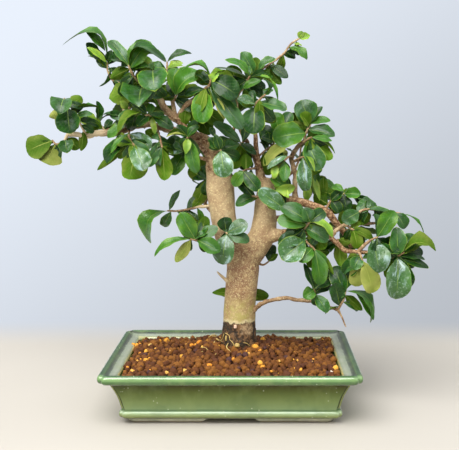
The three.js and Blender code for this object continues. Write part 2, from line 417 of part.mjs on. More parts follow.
const cornerTurns = [[1, -1], [1, 1], [-1, 1], [-1, -1]]; // counter-clockwise from the front right

// A rectangle in plan whose corners are rounded and, with a groove, notched along their middle
function planRing(z, inset, corner, groove) {
  const halfX = pot.halfLength - inset;
  const halfY = pot.halfDepth - inset;
  const ring = [];
  for (const [sx, sy] of cornerTurns) {
    const arc = [[0, 1], [0.27, 0.9], groove ? [0.62, 0.62] : [0.707, 0.707], [0.9, 0.27], [1, 0]];
    if (!groove) {
      arc.splice(1, 1, [0.383, 0.924]);
      arc.splice(3, 1, [0.924, 0.383]);
    }
    const points = arc.map(([along, across]) => [
      sx * (halfX - corner + corner * along * (groove && along === 0.62 ? groove : 1)),
      sy * (halfY - corner + corner * across * (groove && along === 0.62 ? groove : 1)),
      z,
    ]);
    ring.push(...(sx * sy > 0 ? points.reverse() : points));
  }
  return ring;
}

function potSolid() {
  const grooveDepth = 0.55;
  const outside = ringStack(pot.outside.map(([z, inset]) => planRing(z, inset, pot.corner, grooveDepth)));
  const inside = ringStack(pot.inside.map(([z, inset]) => planRing(z, inset, pot.innerCorner, 0)));
  const footTop = pot.footHeight + 1;
  const feet = ringStack([
    planRing(0, pot.footInset + 1.6, pot.corner, 0),
    planRing(footTop, pot.footInset - 1.4, pot.corner, 0),
  ]);
  const hollow = ringStack([
    planRing(-1, pot.footInset + pot.footWidth, pot.corner, 0),
    planRing(pot.footHeight, pot.footInset + pot.footWidth, pot.corner, 0),
  ]);
  const archHeight = 2 * (pot.footHeight - 1);
  const frontArch = solidOf(new THREE.BoxGeometry(2 * pot.archHalfFront, 2 * pot.halfDepth, archHeight));
  const sideArch = solidOf(new THREE.BoxGeometry(2 * pot.halfLength, 2 * pot.archHalfSide, archHeight));
  let body = outside.add(feet.subtract(hollow).subtract(frontArch).subtract(sideArch)).subtract(inside);
  for (const side of [-1, 1]) {
    const hole = new THREE.CylinderGeometry(drain.radius, drain.radius, 4 * pot.floor, 14);
    hole.rotateX(Math.PI / 2).translate(side * drain.x, 0, 0);
    body = body.subtract(solidOf(hole));
  }
  return tidied(body);
}

function screenSolid(x) {
  const bottom = pot.floor + gap;
  const sheet = new THREE.BoxGeometry(drain.screenSide, drain.screenSide, drain.screenThick);
  let screen = solidOf(sheet.translate(x, 0, bottom + drain.screenThick / 2));
  for (const column of [-0.5, 0.5]) {
    for (const row of [-0.5, 0.5]) {
      const hole = new THREE.BoxGeometry(drain.mesh, drain.mesh, 4 * drain.screenThick);
      hole.translate(x + column * drain.pitch, row * drain.pitch, bottom);
      screen = screen.subtract(solidOf(hole));
    }
  }
  return screen;
}

// Soil: a relief of grains over a low mound, cut to the pot's inside, with a hole for the stump

function soilHeight(x, y, draw) {
  const stem = atDepth(limbs.trunk[2][0], limbs.trunk[2][1], limbs.trunk[2][2]);
  const away = Math.hypot(x - stem.x, y - stem.y);
  const mound = soil.mound * Math.exp(-((away / soil.moundReach) ** 2));
  return soil.level + mound + soil.relief * (draw() - 0.5) * 2;
}

function soilSolid(stump) {
  const draw = draws(11);
  const columns = Math.round((2 * (pot.halfLength - 8)) / soil.grain);
  const rows = Math.round((2 * (pot.halfDepth - 10)) / soil.grain);
  const block = new THREE.BoxGeometry(1, 1, 1, columns, rows, 1);
  const place = block.attributes.position;
  const seen = new Map();
  for (let i = 0; i < place.count; i += 1) {
    const column = Math.round((place.getX(i) + 0.5) * columns);
    const row = Math.round((place.getY(i) + 0.5) * rows);
    const key = column * 1000 + row;
    if (!seen.has(key)) {
      const shift = (row % 2) * 0.5;
      const x = (column + shift + 0.35 * (draw() - 0.5)) * soil.grain - columns * soil.grain / 2;
      const y = (row + 0.35 * (draw() - 0.5)) * soil.grain - rows * soil.grain / 2;
      seen.set(key, [x, y, soilHeight(x, y, draw)]);
    }
    const [x, y, z] = seen.get(key);
    place.setXYZ(i, x, y, place.getZ(i) > 0 ? z : 2);
  }
  const walls = ringStack(soil.walls.map(([z, inset]) => planRing(z, inset, pot.innerCorner, 0)));
  let body = walls.intersect(solidOf(block)).subtract(stump);
  for (const side of [-1, 1]) {
    const pocketSide = drain.screenSide + 2 * gap;
    const pocket = new THREE.BoxGeometry(pocketSide, pocketSide, 2 * (drain.screenThick + 2 * gap));
    body = body.subtract(solidOf(pocket.translate(side * drain.x, 0, pot.floor)));
  }
  return largestPiece(body);
}

// Wood: tapered tubes that follow a route

function tubeSolid(points, radii, sides, steps, grow = 0) {
  const curve = new THREE.CatmullRomCurve3(points, false, "centripetal");
  const tube = new THREE.CylinderGeometry(1, 1, 1, sides, steps);
  const place = tube.attributes.position;
  const frames = [];
  let across = new THREE.Vector3(0, -1, 0.01);
  for (let step = 0; step <= steps; step += 1) {
    const share = step / steps;
    const along = curve.getTangent(share);
    across = across.clone().addScaledVector(along, -across.dot(along)).normalize();
    const index = Math.min(share * (radii.length - 1), radii.length - 1.001);
    const low = Math.floor(index);
    const radius = radii[low] + (radii[low + 1] - radii[low]) * (index - low) + grow;
    const stretch = grow * ((step === steps ? 1 : 0) - (step === 0 ? 1 : 0));
    const centre = curve.getPoint(share).addScaledVector(along, stretch);
    frames.push({ centre, radius, across, beside: across.clone().cross(along) });
  }
  for (let i = 0; i < place.count; i += 1) {
    const frame = frames[Math.round((place.getY(i) + 0.5) * steps)];
    const spot = frame.centre.clone()
      .addScaledVector(frame.across, place.getX(i) * frame.radius)
      .addScaledVector(frame.beside, place.getZ(i) * frame.radius);
    place.setXYZ(i, spot.x, spot.y, spot.z);
  }
  return solidOf(tube);
}

function limbSolid(route, grow = 0) {
  const points = route.map(([x, z, y]) => atDepth(x, z, y));
  const radii = route.map((row) => row[3]);
  const sides = radii[0] > 8 ? 10 : radii[0] > 3.1 ? 5 : 4;
  return tubeSolid(points, radii, sides, route.length - 1, grow);
}

// Leaves: an egg-shaped blade, narrow at its root, folded a little along its rib

// Outline as shares of the length and of the half width; the small ones end in a point
const bluntOutline = [[0, 0], [0.28, 0.76], [0.68, 1], [1, 0.42], [1, -0.42], [0.68, -1], [0.28, -0.76]];
const pointedOutline = [[0, 0], [0.3, 0.84], [0.72, 1], [1, 0], [0.72, -1], [0.3, -0.84]];
const smallOutline = [[0, 0], [0.52, 1], [1, 0], [0.52, -1]];

function outlineOf(width) {
  if (width < blade.pointedFrom) {
    return smallOutline;
  }
  return width < blade.bluntFrom ? pointedOutline : bluntOutline;
}

// The leaf's frame after a swing: root, unit length, unit side and upper face, and its sizes
function leafFrame(leaf, lean, turn) {
  const chord = leaf.tip.clone().sub(leaf.root);
  const length = chord.length();
  const along = chord.divideScalar(length);
  const leanAxis = along.clone().cross(leaf.toward).normalize();
  along.applyAxisAngle(leanAxis, THREE.MathUtils.degToRad(lean));
  along.applyAxisAngle(leaf.toward, THREE.MathUtils.degToRad(turn)).normalize();
  const face = leaf.toward.clone().addScaledVector(along, -leaf.toward.dot(along)).normalize();
  const side = along.clone().cross(face);
  const rise = side.z + 0.4 * side.x < 0 ? -1 : 1;
  face.applyAxisAngle(along, rise * THREE.MathUtils.degToRad(leaf.roll));
  return { root: leaf.root, along, face, side: face.clone().cross(along), length };
}

function bladeSolid(leaf, frame, grow, start = 0) {
  const outline = outlineOf(leaf.width);
  const upper = [];
  const lower = [];
  const half = blade.thick / 2 + grow;
  for (const [drawnShare, across] of outline) {
    const share = start + (1 - start) * drawnShare;
    const slope = (4 * leaf.bow * (1 - 2 * share)) / frame.length;
    const normal = frame.face.clone().addScaledVector(frame.along, -slope).normalize();
    const spot = frame.root.clone()
      .addScaledVector(frame.along, share * frame.length)
      .addScaledVector(frame.side, across * (leaf.width / 2 + grow))
      .addScaledVector(frame.face, 4 * leaf.bow * share * (1 - share));
    upper.push(spot.clone().addScaledVector(normal, half).toArray());
    lower.push(spot.addScaledVector(normal, -half).toArray());
  }
  const count = outline.length;
  const faces = [];
  let left = 1;
  let right = count - 1;
  const addBoth = (a, b, c) => faces.push([a, c, b], [a + count, b + count, c + count]);
  addBoth(0, left, right);
  while (left + 1 < right) {
    addBoth(left, left + 1, right);
    if (left + 2 < right) {
      addBoth(left + 1, right - 1, right);
    }
    left += 1;
    right -= 1;
  }
  for (let a = 0; a < count; a += 1) {
    const b = (a + 1) % count;
    faces.push([a, b, b + count], [a, b + count, a + count]);
  }
  return solidOf(facesGeometry([...upper, ...lower], faces));
}

const woodSegments = Object.values(limbs).flatMap((route) => route.slice(1).map((row, i) => ({
  line: new THREE.Line3(atDepth(...route[i]), atDepth(...row)),
  radii: [route[i][3], row[3]],
})));

function inWood(spot) {
  const nearest = new THREE.Vector3();
  return woodSegments.some(({ line, radii }) => {
    const share = line.closestPointToPointParameter(spot, true);
    line.at(share, nearest);
    return nearest.distanceTo(spot) < THREE.MathUtils.lerp(...radii, share) + blade.rootClear;
  });
}

// Root of a leaf: the point of the shoot's curve that lies nearest to where it is drawn
function nearestOnCurve(curve, x, z) {
  let best = null;
  const tries = 80;
  for (let i = 0; i <= tries; i += 1) {
    const spot = curve.getPoint((i / tries) * 0.985);
    if (i < tries && inWood(spot)) {
      continue;
    }
    const drawn = atDepth(x, z, spot.y);
    const away = spot.distanceTo(drawn);
    if (!best || away < best.away) {
      best = { spot, away };
    }
  }
  return best.spot;
}

function drawnLeaves(shoot, curve) {
  const draw = draws(101);
  return shoot.leaves.map(([x0, z0, x1, z1, lean, width, roll, bow]) => {
    const root = nearestOnCurve(curve, x0, z0);
    const tip = atDepth(x1, z1, root.y - lean);
    const turned = roll + blade.jitter * (2 * draw() - 1);
    return { name: `[${x0}, ${z0}, ${x1}, ${z1}]`, root, tip, width, roll: turned, bow, toward: towardEye };
  });
}

function pairedLeaves(shoot, curve) {
  const draw = draws(shoot.seed);
  const leaves = [];
  const spread = THREE.MathUtils.degToRad(pairRule.spread);
  for (let pair = 0; pair < shoot.pairs; pair += 1) {
    const share = pairRule.first + (0.97 - pairRule.first) * pair / (shoot.pairs - 1);
    const root = curve.getPoint(share);
    const stem = curve.getTangent(share);
    const level = new THREE.Vector3(0, 0, 1).cross(stem).normalize();
    level.applyAxisAngle(stem, THREE.MathUtils.degToRad(pairRule.turn * pair + 40 * (draw() - 0.5)));
    for (const side of [-1, 1]) {
      const along = stem.clone().multiplyScalar(Math.cos(spread));
      along.addScaledVector(level, side * Math.sin(spread));
      const length = pairRule.length + pairRule.lengthSpread * (2 * draw() - 1);
      const toward = new THREE.Vector3(0.15 * side, 0.45, 0.85).normalize();
      leaves.push({ root, tip: root.clone().addScaledVector(along, length), width: pairRule.width * length,
        roll: 30 * (draw() - 0.5), bow: 1 + 2 * draw(), toward });
    }
  }
  const tip = curve.getPoint(0.985);
  const ahead = curve.getTangent(1).multiplyScalar(pairRule.length);
  leaves.push({ root: tip, tip: tip.clone().add(ahead), width: pairRule.width * pairRule.length,
    roll: 0, bow: 2, toward: new THREE.Vector3(0, 0.45, 0.9).normalize() });
  return leaves;
}

// Everything placed so far, with its box, so that a new blade is tested against near pieces only
const placed = [];

function keep(solid, owner) {
  placed.push({ solid, owner, box: solid.boundingBox() });
}

function crosses(solid, isOther, most = 0.01) {
  const { min, max } = solid.boundingBox();
  return placed.some(({ solid: other, owner, box }) => isOther(owner)
    && [0, 1, 2].every((axis) => box.min[axis] < max[axis] && box.max[axis] > min[axis])
    && solid.intersect(other).volume() > most);
}

function placeLeaf(leaf, owner) {
  const own = `${owner} leaf`;
  let fallback = null;
  for (const [lean, turn] of swings) {
    if (fallback && Math.abs(lean) + Math.abs(turn) > blade.mostSwing) {
      break;
    }
    const frame = leafFrame(leaf, lean, turn);
    const beyondRoot = bladeSolid(leaf, frame, blade.clearance, blade.rootShare);
    if (crosses(beyondRoot, (other) => other !== owner && other !== own)) {
      continue;
    }
    const whole = bladeSolid(leaf, frame, blade.clearance);
    if (crosses(whole, (other) => other !== "wood" && other !== owner && other !== own)) {
      continue;
    }
    const solid = bladeSolid(leaf, frame, 0);
    if (!crosses(bladeSolid(leaf, frame, 0, blade.rootShare), (other) => other === own, 1)) {
      keep(solid, own);
      return solid;
    }
    fallback = fallback || solid;
  }
  if (fallback) {
    keep(fallback, own);
  } else {
    console.error(`a leaf of ${owner}, ${leaf.name}, has no clear place`);
  }
  return fallback;
}

function shootTwig(shoot) {
  const points = shoot.route.map(([x, z, y]) => atDepth(x, z, y));
  const curve = new THREE.CatmullRomCurve3(points, false, "centripetal");
  const last = points.length - 1;
  const radii = points.map((point, i) => THREE.MathUtils.lerp(twig.baseRadius, twig.tipRadius, i / last));
  return {
    curve,
    solid: tubeSolid(points, radii, twig.sides, last),
    grown: tubeSolid(points, radii, twig.sides, last, gap),
  };
}

// Materials

const paint = (color, roughness) => new THREE.MeshStandardMaterial({ color, roughness, metalness: 0 });
const materials = {
  glaze: paint(0x5f7f45, 0.2),
  soil: paint(0x7a4526, 0.9),
  bark: paint(0xa58a60, 0.75),
  screen: paint(0x24262a, 0.7),
  leaf: paint(0x3f7a2c, 0.35),
};

// The assembly

const tree = new THREE.Group();

function addPiece(name, solid, material) {
  const mesh = new THREE.Mesh(geometryOf(solid), material);
  mesh.name = name;
  tree.add(mesh);
}

const grownLimbs = Object.entries(limbs).map(([name, route]) => ({ name, solid: limbSolid(route, gap) }));
for (const { solid } of grownLimbs) {
  keep(solid, "wood");
}
const grownWood = grownLimbs.map(({ solid }) => solid).reduce((all, one) => all.add(one));
const wood = tidied(Object.values(limbs).map((route) => limbSolid(route)).reduce((all, one) => all.add(one)));

addPiece("pot", potSolid(), materials.glaze);
addPiece("drain_screen_left", screenSolid(-drain.x), materials.screen);
addPiece("drain_screen_right", screenSolid(drain.x), materials.screen);
addPiece("soil", soilSolid(grownWood), materials.soil);
addPiece("trunk_and_branches", wood, materials.bark);

const twigs = shoots.map((shoot) => ({ shoot, ...shootTwig(shoot) }));
for (const { shoot, solid } of twigs) {
  keep(solid, shoot.name);
}
twigs.forEach(({ shoot, curve, solid }, order) => {
  const leaves = shoot.pairs ? pairedLeaves(shoot, curve) : drawnLeaves(shoot, curve);
  let spray = solid;
  for (const leaf of leaves) {
    const bladeOf = placeLeaf(leaf, shoot.name);
    if (bladeOf) {
      spray = spray.add(bladeOf);
    }
  }
  spray = twigs.slice(0, order).reduce((left, { grown }) => left.subtract(grown), spray.subtract(grownWood));
  addPiece(`shoot_${shoot.name}`, tidied(spray), materials.leaf);
});

// The origin is the middle of the object's box, on the table
const box = new THREE.Box3().setFromObject(tree);
const middle = box.getCenter(new THREE.Vector3());
tree.position.set(-middle.x, -middle.y, -box.min.z);

export default tree;
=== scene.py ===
import math

import bmesh
import bpy
import numpy as np
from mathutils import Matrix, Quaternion, Vector, kdtree, noise


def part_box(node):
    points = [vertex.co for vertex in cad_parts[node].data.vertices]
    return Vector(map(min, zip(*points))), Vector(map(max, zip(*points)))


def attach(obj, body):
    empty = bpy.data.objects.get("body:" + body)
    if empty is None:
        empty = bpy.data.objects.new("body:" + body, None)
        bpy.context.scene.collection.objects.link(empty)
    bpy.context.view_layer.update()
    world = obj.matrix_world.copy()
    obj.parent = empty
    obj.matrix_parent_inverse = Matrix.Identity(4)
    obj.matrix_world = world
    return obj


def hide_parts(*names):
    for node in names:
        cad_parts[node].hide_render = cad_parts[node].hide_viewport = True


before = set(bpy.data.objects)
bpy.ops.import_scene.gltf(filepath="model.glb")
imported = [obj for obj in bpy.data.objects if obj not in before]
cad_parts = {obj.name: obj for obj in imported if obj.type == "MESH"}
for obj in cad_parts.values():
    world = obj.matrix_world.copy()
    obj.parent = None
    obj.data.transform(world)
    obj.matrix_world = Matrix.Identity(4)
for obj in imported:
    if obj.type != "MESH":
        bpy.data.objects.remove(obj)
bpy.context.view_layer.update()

mm = 0.001
scene = bpy.context.scene
noise.seed_set(5)  # noise_vector starts from the clock without it

# The CAD pot gives the place of everything else.
# Drawn points are in millimetres from its middle, on the table.
potLow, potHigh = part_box("pot")
potMiddle = Vector(((potLow.x + potHigh.x) / 2, (potLow.y + potHigh.y) / 2, 0))


def placed(point):
    return Vector(point) * mm + potMiddle


# Camera: the same eye and tilt as the drawing sheet of the part
view = {
    "eye": (25.4, -840.5, 276.5),
    "lookDown": 6.76,  # degrees
    "sheetDistance": 864,
    "sheetMiddle": (25.2, 175),  # x and z on the sheet
    "imageWidth": 459,
    "offAxis": 28.7,  # pixels that the optical axis lies right of the image's middle
    "sensor": 36,
    # depths in millimetres at which a line of sight is followed, from the front to the back
    "sightFrom": -80,
    "sightStep": 0.5,
    "sightSteps": 400,
}


def addCamera():
    data = bpy.data.cameras.new("camera")
    data.sensor_width = view["sensor"]
    data.lens = view["sheetDistance"] / view["imageWidth"] * view["sensor"]
    data.shift_x = -view["offAxis"] / view["imageWidth"]
    data.clip_start = 0.05
    data.clip_end = 100
    camera = bpy.data.objects.new("camera", data)
    camera.location = placed(view["eye"])
    camera.rotation_euler = (math.radians(90 - view["lookDown"]), 0, 0)
    scene.collection.objects.link(camera)
    scene.camera = camera


def atDepth(x, z, y):
    down = math.radians(view["lookDown"])
    up = z - view["sheetMiddle"][1]
    ray = Vector((x - view["sheetMiddle"][0],
                  view["sheetDistance"] * math.cos(down) + up * math.sin(down),
                  -view["sheetDistance"] * math.sin(down) + up * math.cos(down)))
    eye = Vector(view["eye"])
    return eye + ray * ((y - eye.y) / ray.y)


# The first place that counts as reached on the line of sight through a point of the sheet
def firstSeen(x, z, reached):
    for step in range(view["sightSteps"]):
        spot = atDepth(x, z, view["sightFrom"] + view["sightStep"] * step)
        if reached(spot):
            return spot
    return spot


# Node helpers: values go to sockets by name or number, a socket as a value is linked
def give(tree, made, values):
    for key, value in values.items():
        if isinstance(value, bpy.types.NodeSocket):
            tree.links.new(value, made.inputs[key])
        elif value is not None:
            made.inputs[key].default_value = value


def node(tree, kind, values=None, **settings):
    made = tree.nodes.new(kind)
    for key, value in settings.items():
        setattr(made, key, value)
    give(tree, made, values or {})
    return made


def maths(tree, operation, *values):
    return node(tree, "ShaderNodeMath", dict(enumerate(values)), operation=operation).outputs[0]


def times(tree, a, b):
    return maths(tree, "MULTIPLY", a, b)


def vectors(tree, operation, a, b=None, scale=None):
    values = {0: a, 1: b, "Scale": scale}
    return node(tree, "ShaderNodeVectorMath", values, operation=operation).outputs[0]


def measured(tree, operation, a, b=None):
    return node(tree, "ShaderNodeVectorMath", {0: a, 1: b}, operation=operation).outputs["Value"]


def split(tree, value):
    return node(tree, "ShaderNodeSeparateXYZ", {0: value}).outputs


def newTree(name, sockets):
    tree = bpy.data.node_groups.new(name, "GeometryNodeTree")
    tree.interface.new_socket("Geometry", in_out="INPUT", socket_type="NodeSocketGeometry")
    tree.interface.new_socket("Geometry", in_out="OUTPUT", socket_type="NodeSocketGeometry")
    for socketName, kind, value in sockets:
        socket = tree.interface.new_socket(socketName, in_out="INPUT", socket_type="NodeSocket" + kind)
        if value is not None:
            socket.default_value = value
    return tree, tree.nodes.new("NodeGroupInput").outputs, tree.nodes.new("NodeGroupOutput").inputs[0]


def named(tree, name, kind="FLOAT"):
    return node(tree, "GeometryNodeInputNamedAttribute", {"Name": name}, data_type=kind).outputs[0]


def endTree(tree, geometry, material, result):
    made = node(tree, "GeometryNodeSetMaterial", {0: geometry, "Material": material})
    tree.links.new(made.outputs[0], result)


# Runs a tree on a carrier object and keeps the result as a plain mesh object
def grow(name, carrier, tree, values):
    modifier = carrier.modifiers.new("grow", "NODES")
    modifier.node_group = tree
    for item in tree.interface.items_tree:
        if item.item_type == "SOCKET" and item.in_out == "INPUT" and item.name in values:
            modifier[item.identifier] = values[item.name]
    graph = bpy.context.evaluated_depsgraph_get()
    mesh = bpy.data.meshes.new_from_object(carrier.evaluated_get(graph), depsgraph=graph)
    carrier.modifiers.remove(modifier)
    bpy.data.objects.remove(carrier)
    mesh.name = name
    return addObject(name, mesh)


def dress(mesh, material):
    mesh.materials.clear()
    mesh.materials.append(material)


def addObject(name, mesh, material=None):
    made = bpy.data.objects.new(name, mesh)
    scene.collection.objects.link(made)
    if material:
        dress(mesh, material)
    return made


def fromShape(name, shape):
    mesh = bpy.data.meshes.new(name)
    shape.to_mesh(mesh)
    shape.free()
    return addObject(name, mesh)


# Closes rings of vertices, one after the other, into a skin with two flat ends
def skin(shape, rings):
    count = len(rings[0])
    for low, high in zip(rings, rings[1:]):
        for i in range(count):
            shape.faces.new((low[i], low[(i + 1) % count], high[(i + 1) % count], high[i]))
    shape.faces.new(rings[0][::-1])
    shape.faces.new(rings[-1])


def meshOf(name, points, edges=(), faces=()):
    mesh = bpy.data.meshes.new(name)
    mesh.from_pydata([tuple(p) for p in points], edges, faces)
    mesh.update()
    return mesh


def store(mesh, name, values, kind="FLOAT", domain="POINT"):
    attribute = mesh.attributes.new(name, kind, domain)
    key = "vector" if kind == "FLOAT_VECTOR" else "value"
    attribute.data.foreach_set(key, np.array(values, float if kind != "BOOLEAN" else bool).ravel())


# Applies an object's modifiers to its mesh
def settle(made):
    graph = bpy.context.evaluated_depsgraph_get()
    mesh = bpy.data.meshes.new_from_object(made.evaluated_get(graph), depsgraph=graph)
    made.modifiers.clear()
    made.data = mesh


def smooth(made, angle=None):
    made.data.polygons.foreach_set("use_smooth", [True] * len(made.data.polygons))
    if angle:
        made.data.set_sharp_from_angle(angle=math.radians(angle))
    made.data.update()


# Material helpers
def newMaterial(name):
    material = bpy.data.materials.new(name)
    material.use_nodes = True
    tree = material.node_tree
    return material, tree, tree.nodes["Principled BSDF"]


def objectPlace(tree):
    return node(tree, "ShaderNodeTexCoord").outputs["Object"]


def stored(tree, name, output="Fac"):
    return node(tree, "ShaderNodeAttribute", attribute_name=name).outputs[output]


# How far each place is from a drawn point, in metres
def distance(tree, place, spot):
    return measured(tree, "DISTANCE", place, tuple(placed(spot)))


def grain(tree, place, scale, detail=3.0, roughness=0.55, distortion=0.0):
    values = {"Vector": place, "Scale": scale, "Detail": detail, "Roughness": roughness,
              "Distortion": distortion}
    return node(tree, "ShaderNodeTexNoise", values).outputs["Fac"]


def ramp(tree, value, stops, interpolation="LINEAR"):
    made = node(tree, "ShaderNodeValToRGB", {0: value})
    made.color_ramp.interpolation = interpolation
    while len(made.color_ramp.elements) < len(stops):
        made.color_ramp.elements.new(0.5)
    for element, (position, colour) in zip(made.color_ramp.elements, stops):
        element.position = position
        element.color = (*colour, 1)
    return made.outputs["Color"]


def mix(tree, share, a, b):
    a, b = (c if isinstance(c, bpy.types.NodeSocket) else (*c, 1) for c in (a, b))
    return node(tree, "ShaderNodeMix", {0: share, 6: a, 7: b}, data_type="RGBA").outputs[2]


def span(tree, value, low, high, outLow=0.0, outHigh=1.0):
    values = {"Value": value, "From Min": low, "From Max": high, "To Min": outLow, "To Max": outHigh}
    return node(tree, "ShaderNodeMapRange", values, interpolation_type="SMOOTHSTEP").outputs["Result"]


def bump(tree, height, strength, distance, below=None):
    values = {"Height": height, "Strength": strength, "Distance": distance}
    if below:
        values["Normal"] = below
    return node(tree, "ShaderNodeBump", values).outputs["Normal"]


def rgb(red, green, blue):
    return tuple((v / 255) ** 2.2 for v in (red, green, blue))  # a seen colour as scene-linear


# Wood: each limb is a list of [x, z, y, radius], x and z as seen from the front and y the depth
limbs = {
    "trunk": [[6.4, 36, 18, 14], [6.4, 50, 18, 18.6], [6.4, 60, 18, 18.3], [6.6, 78, 18, 16.5],
      [7, 97, 18, 16], [8.6, 119, 18, 16.2], [10, 134, 18, 16.4], [10, 144, 18, 11.5]],
    "rightLimb": [[11, 134, 18, 13], [20, 150, 18, 14], [28.5, 163, 18, 13], [32, 180, 19, 12],
      [31.8, 195, 20, 10], [33, 210, 21, 8.8], [34, 222, 22, 8]],
    "leftLimb": [[9, 134, 18, 13], [0, 152, 17, 13.5], [-6, 168, 16, 12.8], [-9, 180, 15, 12.6],
      [-11, 195, 14, 13.2], [-13, 212, 13, 13.8], [-14.5, 226, 12, 12]],
    "rightKnob": [[30, 163, 16, 9], [42, 165, 12, 7], [50, 166, 9, 4.5]],
    "leader": [[-19, 212, 12, 7], [-21, 232, 12, 6.3], [-21, 248, 12, 5.8], [-26, 258, 11, 6],
      [-37, 264, 10, 5], [-45, 269, 9, 4.2], [-53, 278, 8, 3.8], [-61, 284, 7, 3.3]],
    "topLeftBranch": [[-57, 281, 7, 3], [-68, 292, 7, 3.2], [-75, 303, 8, 3], [-81, 311, 9, 2.4],
      [-90, 312, 10, 2]],
    "upperMiddleBranch": [[-56, 280, 8, 2.6], [-48, 294, 4, 2.6], [-36, 303, -2, 2.2], [-30, 309, -6, 1.9]],
    "upperBackBranch": [[-57, 281, 8, 2.6], [-61, 300, 18, 2.2], [-63, 309, 24, 1.8]],
    "leftArm": [[-48, 271, 9, 3.2], [-58, 269, 10, 3.2], [-70, 272, 12, 3], [-83, 275.5, 13, 2.8],
      [-94, 274.5, 13, 2.7], [-103, 272, 12, 2.7], [-110, 268.5, 11, 2.7], [-126, 267, 9, 3],
      [-138, 266.5, 7, 2.4], [-147, 263.5, 5, 2.1], [-155, 265, 3, 2.2], [-167, 266.5, 1, 2.2]],
    "leftArmTwig": [[-58, 280, 7, 1.8], [-68, 282.5, 4, 1.6], [-81, 284, 0, 1.3]],
    "leftSideTwig": [[-22, 240, 10, 2], [-36, 243, 7, 1.7], [-43, 246, 5, 1.4]],
    "innerStem": [[30, 214, 20, 5], [26, 230, 20, 4], [23.5, 245, 18, 2.9], [22.5, 262, 14, 2.3],
      [22, 280, 8, 1.9], [22, 292, 3, 1.6]],
    "innerLeftStem": [[24.5, 236, 20, 2.6], [18, 250, 23, 2.4], [13, 260, 26, 2.2], [7, 271, 28, 2],
      [4, 287, 28, 1.9], [4, 305, 27, 1.8], [10, 315, 26, 1.6], [17, 322, 26, 1.5]],
    "rightBranch": [[38, 194, 17, 5], [50, 200, 13, 4.4], [60.5, 199.5, 10, 4.2], [76.5, 195.5, 7, 4],
      [94, 188, 6, 3.9], [103, 177, 6, 3.6], [112.5, 165.5, 7, 3.1], [119, 152, 8, 2.7]],
    "rightStem": [[62, 200, 10, 3], [62, 214, 15, 2.7], [62, 228, 18, 2.7], [59, 237, 19, 2.6],
      [60, 247, 18, 2.5], [65, 253, 17, 2.3], [72, 260, 16, 2.1]],
    "lowerRightBranch": [[46, 166, 10, 4.2], [58, 168, 0, 3.2], [68, 166, -7, 2.9], [82, 167, -12, 2.7],
      [92, 166, -15, 2.6], [98, 162, -16, 2.6], [105, 156, -17, 2.5], [112, 149.5, -18, 2.5],
      [126, 148, -20, 2.4], [138, 147, -22, 2.1], [150, 145, -24, 1.9], [161, 141, -26, 1.7]],
    "rightForkTwig": [[125, 148, -20, 1.9], [131, 154, -23, 1.7], [137, 160, -25, 1.5]],
    "middleRightBranch": [[98, 162.5, -16, 2.1], [103, 169.5, -10, 2.1], [113, 175.5, -5, 2],
      [130, 176, -2, 1.7], [146, 177.5, 0, 1.4]],
    "lowRightBranch": [[17, 86, 14, 4], [25, 94, 10, 3.2], [33, 98.3, 6, 2.8], [51.8, 102, 0, 2.6],
      [66.7, 99.8, -4, 2.6], [84, 97.7, -8, 2.3], [97.8, 92, -11, 2.2], [105, 90, -13, 2.7]],
    "lowRightSpur": [[105, 90, -13, 1.5], [109, 82, -15, 1.2], [113, 73, -17, 0.9]],
    "leftLowTwig": [[-18, 196, 11, 2.2], [-26, 194, 14, 1.6], [-33, 193, 17, 1.4]],
    "leftFrontTwig": [[-10, 158, 10, 2], [-22, 158.5, -2, 1.5], [-31, 159, -8, 1.3]],
    "stub": [[-5, 118, 12, 1.9], [-15.5, 128, 6, 1.1]],
    "backLeftBranch": [[-12, 214, 18, 5], [-20, 236, 34, 3.4], [-34, 256, 47, 2.6], [-50, 272, 56, 2]],
    "backMiddleBranch": [[-12, 222, 16, 4.4], [-8, 242, 34, 3], [-2, 260, 48, 2.3], [2, 276, 56, 1.8]],
    "backRightBranch": [[33, 196, 26, 5], [42, 210, 42, 3.4], [52, 222, 54, 2.6], [62, 230, 62, 2]],
    "backLowBranch": [[32, 176, 27, 4.4], [46, 182, 44, 3], [66, 180, 58, 2.4], [88, 174, 66, 1.8]],
    "backLowLeftBranch": [[-12, 184, 20, 4.2], [-22, 190, 32, 2.8], [-29, 197, 41, 2]],
    "backArmTwig": [[-94, 276, 13, 2.2], [-100, 284, 22, 1.7], [-110, 290, 32, 1.5]],
    "backRightTwig": [[94, 188, 6, 2.2], [104, 192, 22, 1.8], [116, 196, 36, 1.5]],
}

